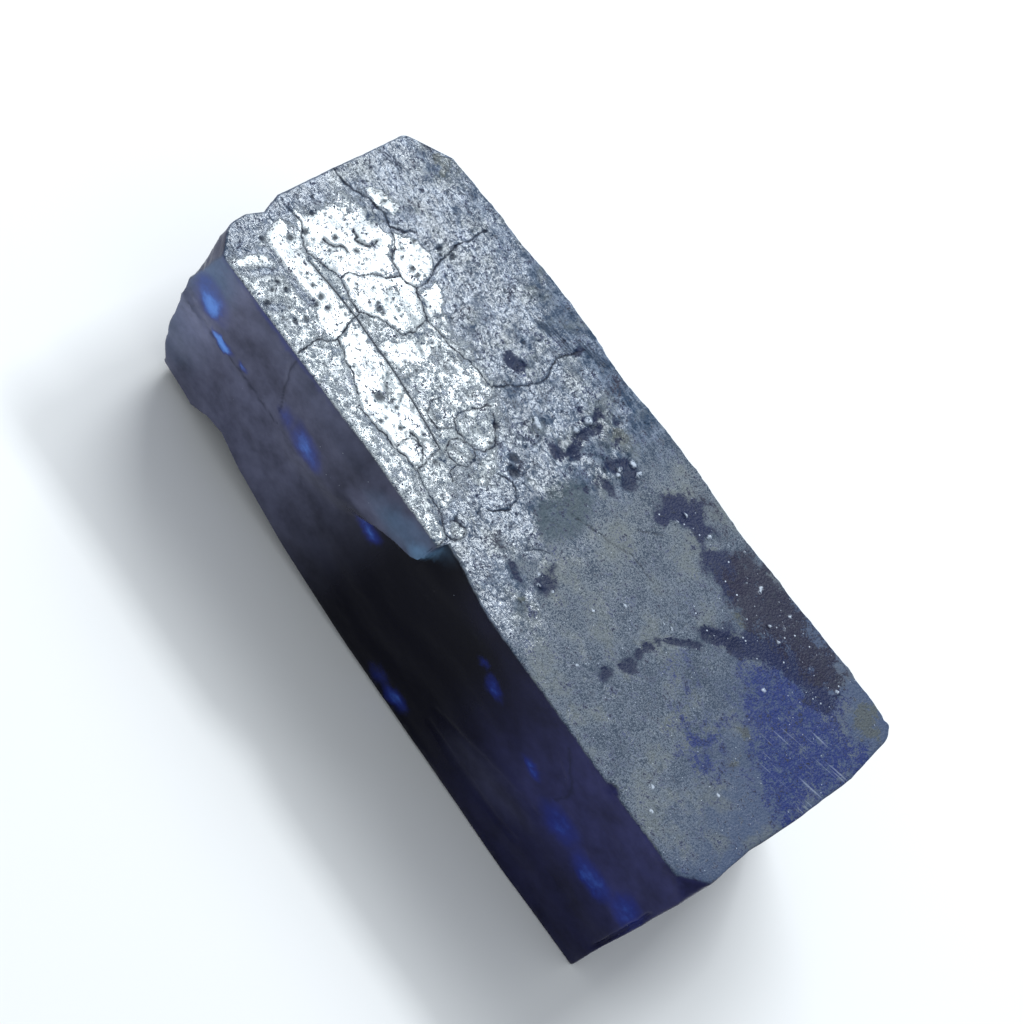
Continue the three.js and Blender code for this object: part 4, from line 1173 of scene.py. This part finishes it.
# The crust and glaze shine like glass; the frosted half is a rough matt surface. Heights are in millimetres.
crust_height = (0.16 * medium + 0.07 * wrinkle + 0.008 * fine + 0.001 * finest) * (1 - 0.85 * glazed_here)
shine_roughness = 0.27 - 0.03 * glazed_here + 0.15 * (medium - 0.5) + 0.3 * here["cracked"]
shiny_surface = look.surface(skin_colour, shine_roughness, refraction=1.77, height=crust_height)
frost_height = 0.08 * fine + 0.02 * finest
matt_roughness = 0.45 + 0.2 * (medium - 0.5)
matt_surface = look.surface(skin_colour, matt_roughness, refraction=1.25, height=frost_height)
shine = here["crusted"] - dark_here - worn_here - navy_here - 0.8 * blue_gaps - 0.9 * here["dull"]
shine = shine - here["matted"] + 0.5 * mottle + 1.2 * (blotchy - 0.5) - 1.5 * here["cracked"]
shine = shine - here["hollow"] - fine_cracks
matt_share = look.between(shine, -0.1, 0.9, start=1.0, end=0.0)
skin_surface = look.add("ShaderNodeMixShader", {}, {0: matt_share, 1: shiny_surface, 2: matt_surface})

# The bare crystal. The back and the broken end are shelly: each shell has its own tone and a frosted rim.
SHELLS_PER_MM = 0.12
BENDS_PER_MM = 0.2
SHELL_BEND = 5 * MM
bend = look.add("ShaderNodeTexNoise", {}, {"Vector": place, "Scale": BENDS_PER_MM / MM}, output="Color")
bent_place = look.add("ShaderNodeVectorMath", {"operation": "MULTIPLY_ADD"}, {
    0: bend, 1: (SHELL_BEND, SHELL_BEND, SHELL_BEND), 2: place,
})
shells = {"Vector": bent_place, "Scale": SHELLS_PER_MM / MM}
rim_gap = look.add("ShaderNodeTexVoronoi", {"feature": "DISTANCE_TO_EDGE"}, shells)
shell_tone = look.add("ShaderNodeTexVoronoi", {}, shells, output="Color")
shell_rim = here["shelly"] * look.between(rim_gap, 0.012, 0.0) * look.between(blotchy, 0.5, 0.7)

CRYSTAL_COLOUR = (0.0006, 0.0006, 0.005, 1)
CRYSTAL_HAZE_AND_REFLECTION = (0.26, 0.27, 0.42, 1)
BLUE_HAZE_AND_REFLECTION = (0.036, 0.038, 0.13, 1)
PALE_BLUE = (0.11, 0.21, 0.34, 1)
DEEP_FLASH = (0.01, 0.025, 0.25, 1)
BRIGHT_FLASH = (0.12, 0.34, 0.95, 1)
cloudy = look.between(broad + 0.2 * (medium - 0.5), -0.4, 1.1)
# Blue in the crystal's colour: its own on the hidden faces, a painted reflection on the near end of the dark
# side
blue_and_reflection_here = here["blue_haze"] * cloudy + 0.2 * here["shelly"] * (shell_tone - 0.45)
# The flashes are painted light: blue light shining out of the crystal, laid into its colour as strong blue
# patches
flash_here = here["flash"] * (0.5 + 0.65 * medium + 0.35 * blotchy)
flash_colour = look.mixed(look.between(flash_here, 0.3, 1), DEEP_FLASH, BRIGHT_FLASH)
flash_share = look.between(flash_here, 0, 0.7)
# This lightening is the crystal's own haze on the broken end and on frosted shell rims, and painted
# reflection on the dark side
haze_and_reflection_veil = here["hazy"] * cloudy * (1 - 0.6 * flash_share) * (1 - 0.7 * here["pale"]) + 0.08 * shell_rim
dust = look.specks(place, per_mm=0.9, radius=0.07, chance=0.3)
crystal_colour = look.layered(CRYSTAL_COLOUR, [
    (blue_and_reflection_here, BLUE_HAZE_AND_REFLECTION),
    (here["pale"] * (0.6 + 0.8 * medium), PALE_BLUE),
    (flash_share, flash_colour),
    (haze_and_reflection_veil, CRYSTAL_HAZE_AND_REFLECTION),
    (here["cracked"] * (1 - here["skin"]) * 0.7, CRACK_COLOUR),
    (dust * 0.35, GLINT_AND_PALE_SPECK_COLOUR),
])
crystal_roughness = 0.22 + 0.2 * (medium - 0.5)
crystal_height = medium + 0.4 * fine + here["shelly"] * shell_tone
crystal_surface = look.surface(
    crystal_colour, crystal_roughness, refraction=1.18,
    height=crystal_height, strength=0.25, distance=0.04 * MM,
)
whole_surface = look.add("ShaderNodeMixShader", {}, {0: here["skin"], 1: crystal_surface, 2: skin_surface})
look.add("ShaderNodeOutputMaterial", {}, {"Surface": whole_surface})
merged_mesh.materials.append(look.material)

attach(stone, "root")
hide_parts("rough_sapphire")

# The floor. A plain pale sheet that the stone rests on; it isn't part of the stone.
FLOOR_HALF = 3.0
FLOOR_DROP = 0.02 * MM
FLOOR_COLOUR = (0.9, 0.88, 0.86, 1)
FLOOR_ROUGHNESS = 0.9
FLOOR_SHINE = 0.1
SQUARE = [(-1, -1), (1, -1), (1, 1), (-1, 1)]
floor_corners = [(side_x * FLOOR_HALF, side_y * FLOOR_HALF, -FLOOR_DROP) for side_x, side_y in SQUARE]
floor_mesh = bpy.data.meshes.new("floor")
floor_mesh.from_pydata(floor_corners, [], [(0, 1, 2, 3)])
floor = bpy.data.objects.new("floor", floor_mesh)
bpy.context.scene.collection.objects.link(floor)
floor_finish = Finish("pale_floor")
floor_surface = floor_finish.add("ShaderNodeBsdfPrincipled", {}, {
    "Base Color": FLOOR_COLOUR, "Roughness": FLOOR_ROUGHNESS, "Specular IOR Level": FLOOR_SHINE,
})
floor_finish.add("ShaderNodeOutputMaterial", {}, {"Surface": floor_surface})
floor_mesh.materials.append(floor_finish.material)

# The light. Soft studio light from all round, and one window-like panel whose reflection lies on the glaze.
# Places and sizes are in metres, powers in watts.
STUDIO_COLOUR = (0.84, 0.92, 1.0, 1)
STUDIO_STRENGTH = 0.6
PANEL_COLOUR = (0.88, 0.95, 1.0)
world = bpy.data.worlds.new("soft_studio")
world.use_nodes = True
background = world.node_tree.nodes["Background"]
background.inputs["Color"].default_value = STUDIO_COLOUR
background.inputs["Strength"].default_value = STUDIO_STRENGTH
bpy.context.scene.world = world
bpy.context.scene.view_settings.view_transform = "Standard"


def panel(name, centre, aim, width, height, power):
    """A flat light of a given size that looks from its centre towards its aim."""
    light = bpy.data.lights.new(name, "AREA")
    light.shape = "RECTANGLE"
    light.size = width
    light.size_y = height
    light.energy = power
    light.color = PANEL_COLOUR
    holder = bpy.data.objects.new(name, light)
    holder.location = centre
    holder.rotation_mode = "QUATERNION"
    holder.rotation_quaternion = (Vector(aim) - Vector(centre)).to_track_quat("-Z", "Y")
    bpy.context.scene.collection.objects.link(holder)


panel(
    "window", centre=(-0.05, 0.2625, 0.387), aim=(-0.03, -0.004, 0.024),
    width=0.105, height=0.05, power=0.85,
)
panel("side_light", centre=(-0.45, 0.5, 0.74), aim=(0, 0, 0), width=0.5, height=0.5, power=6)

# The camera stands where the photograph was taken from, above the dark side, with the bar turned in the
# frame. Its place is given in the stone's own millimetres and then moved with it.
CAMERA_AIM = np.array([-0.15, -0.5, 12.0])
CAMERA_ELEVATION = math.radians(54)
CAMERA_ROLL = math.radians(54.625)
CAMERA_DISTANCE = 520
CAMERA_LENS = 179.3
AIM_RIGHT = 1.145
AIM_UP = 2.18
NEAREST_SEEN = 0.05
towards_camera = np.array([0, -math.cos(CAMERA_ELEVATION), math.sin(CAMERA_ELEVATION)])
level_right = np.array([1.0, 0.0, 0.0])
level_up = np.cross(towards_camera, level_right)
frame_right = math.cos(CAMERA_ROLL) * level_right + math.sin(CAMERA_ROLL) * level_up
frame_up = -math.sin(CAMERA_ROLL) * level_right + math.cos(CAMERA_ROLL) * level_up
camera_place = CAMERA_AIM + CAMERA_DISTANCE * towards_camera
aimed_at = CAMERA_AIM + AIM_RIGHT * frame_right + AIM_UP * frame_up
backward = (camera_place - aimed_at) / np.linalg.norm(camera_place - aimed_at)
sideways = np.cross(frame_up, backward)
sideways /= np.linalg.norm(sideways)
upward = np.cross(backward, sideways)
camera_data = bpy.data.cameras.new("camera")
camera_data.lens = CAMERA_LENS
camera_data.clip_start = NEAREST_SEEN
camera = bpy.data.objects.new("camera", camera_data)
turned = Matrix((sideways, upward, backward)).transposed().to_4x4()
camera.matrix_world = Matrix.Translation(Vector(camera_place * MM) + to_frame) @ turned
bpy.context.scene.collection.objects.link(camera)
bpy.context.scene.camera = camera
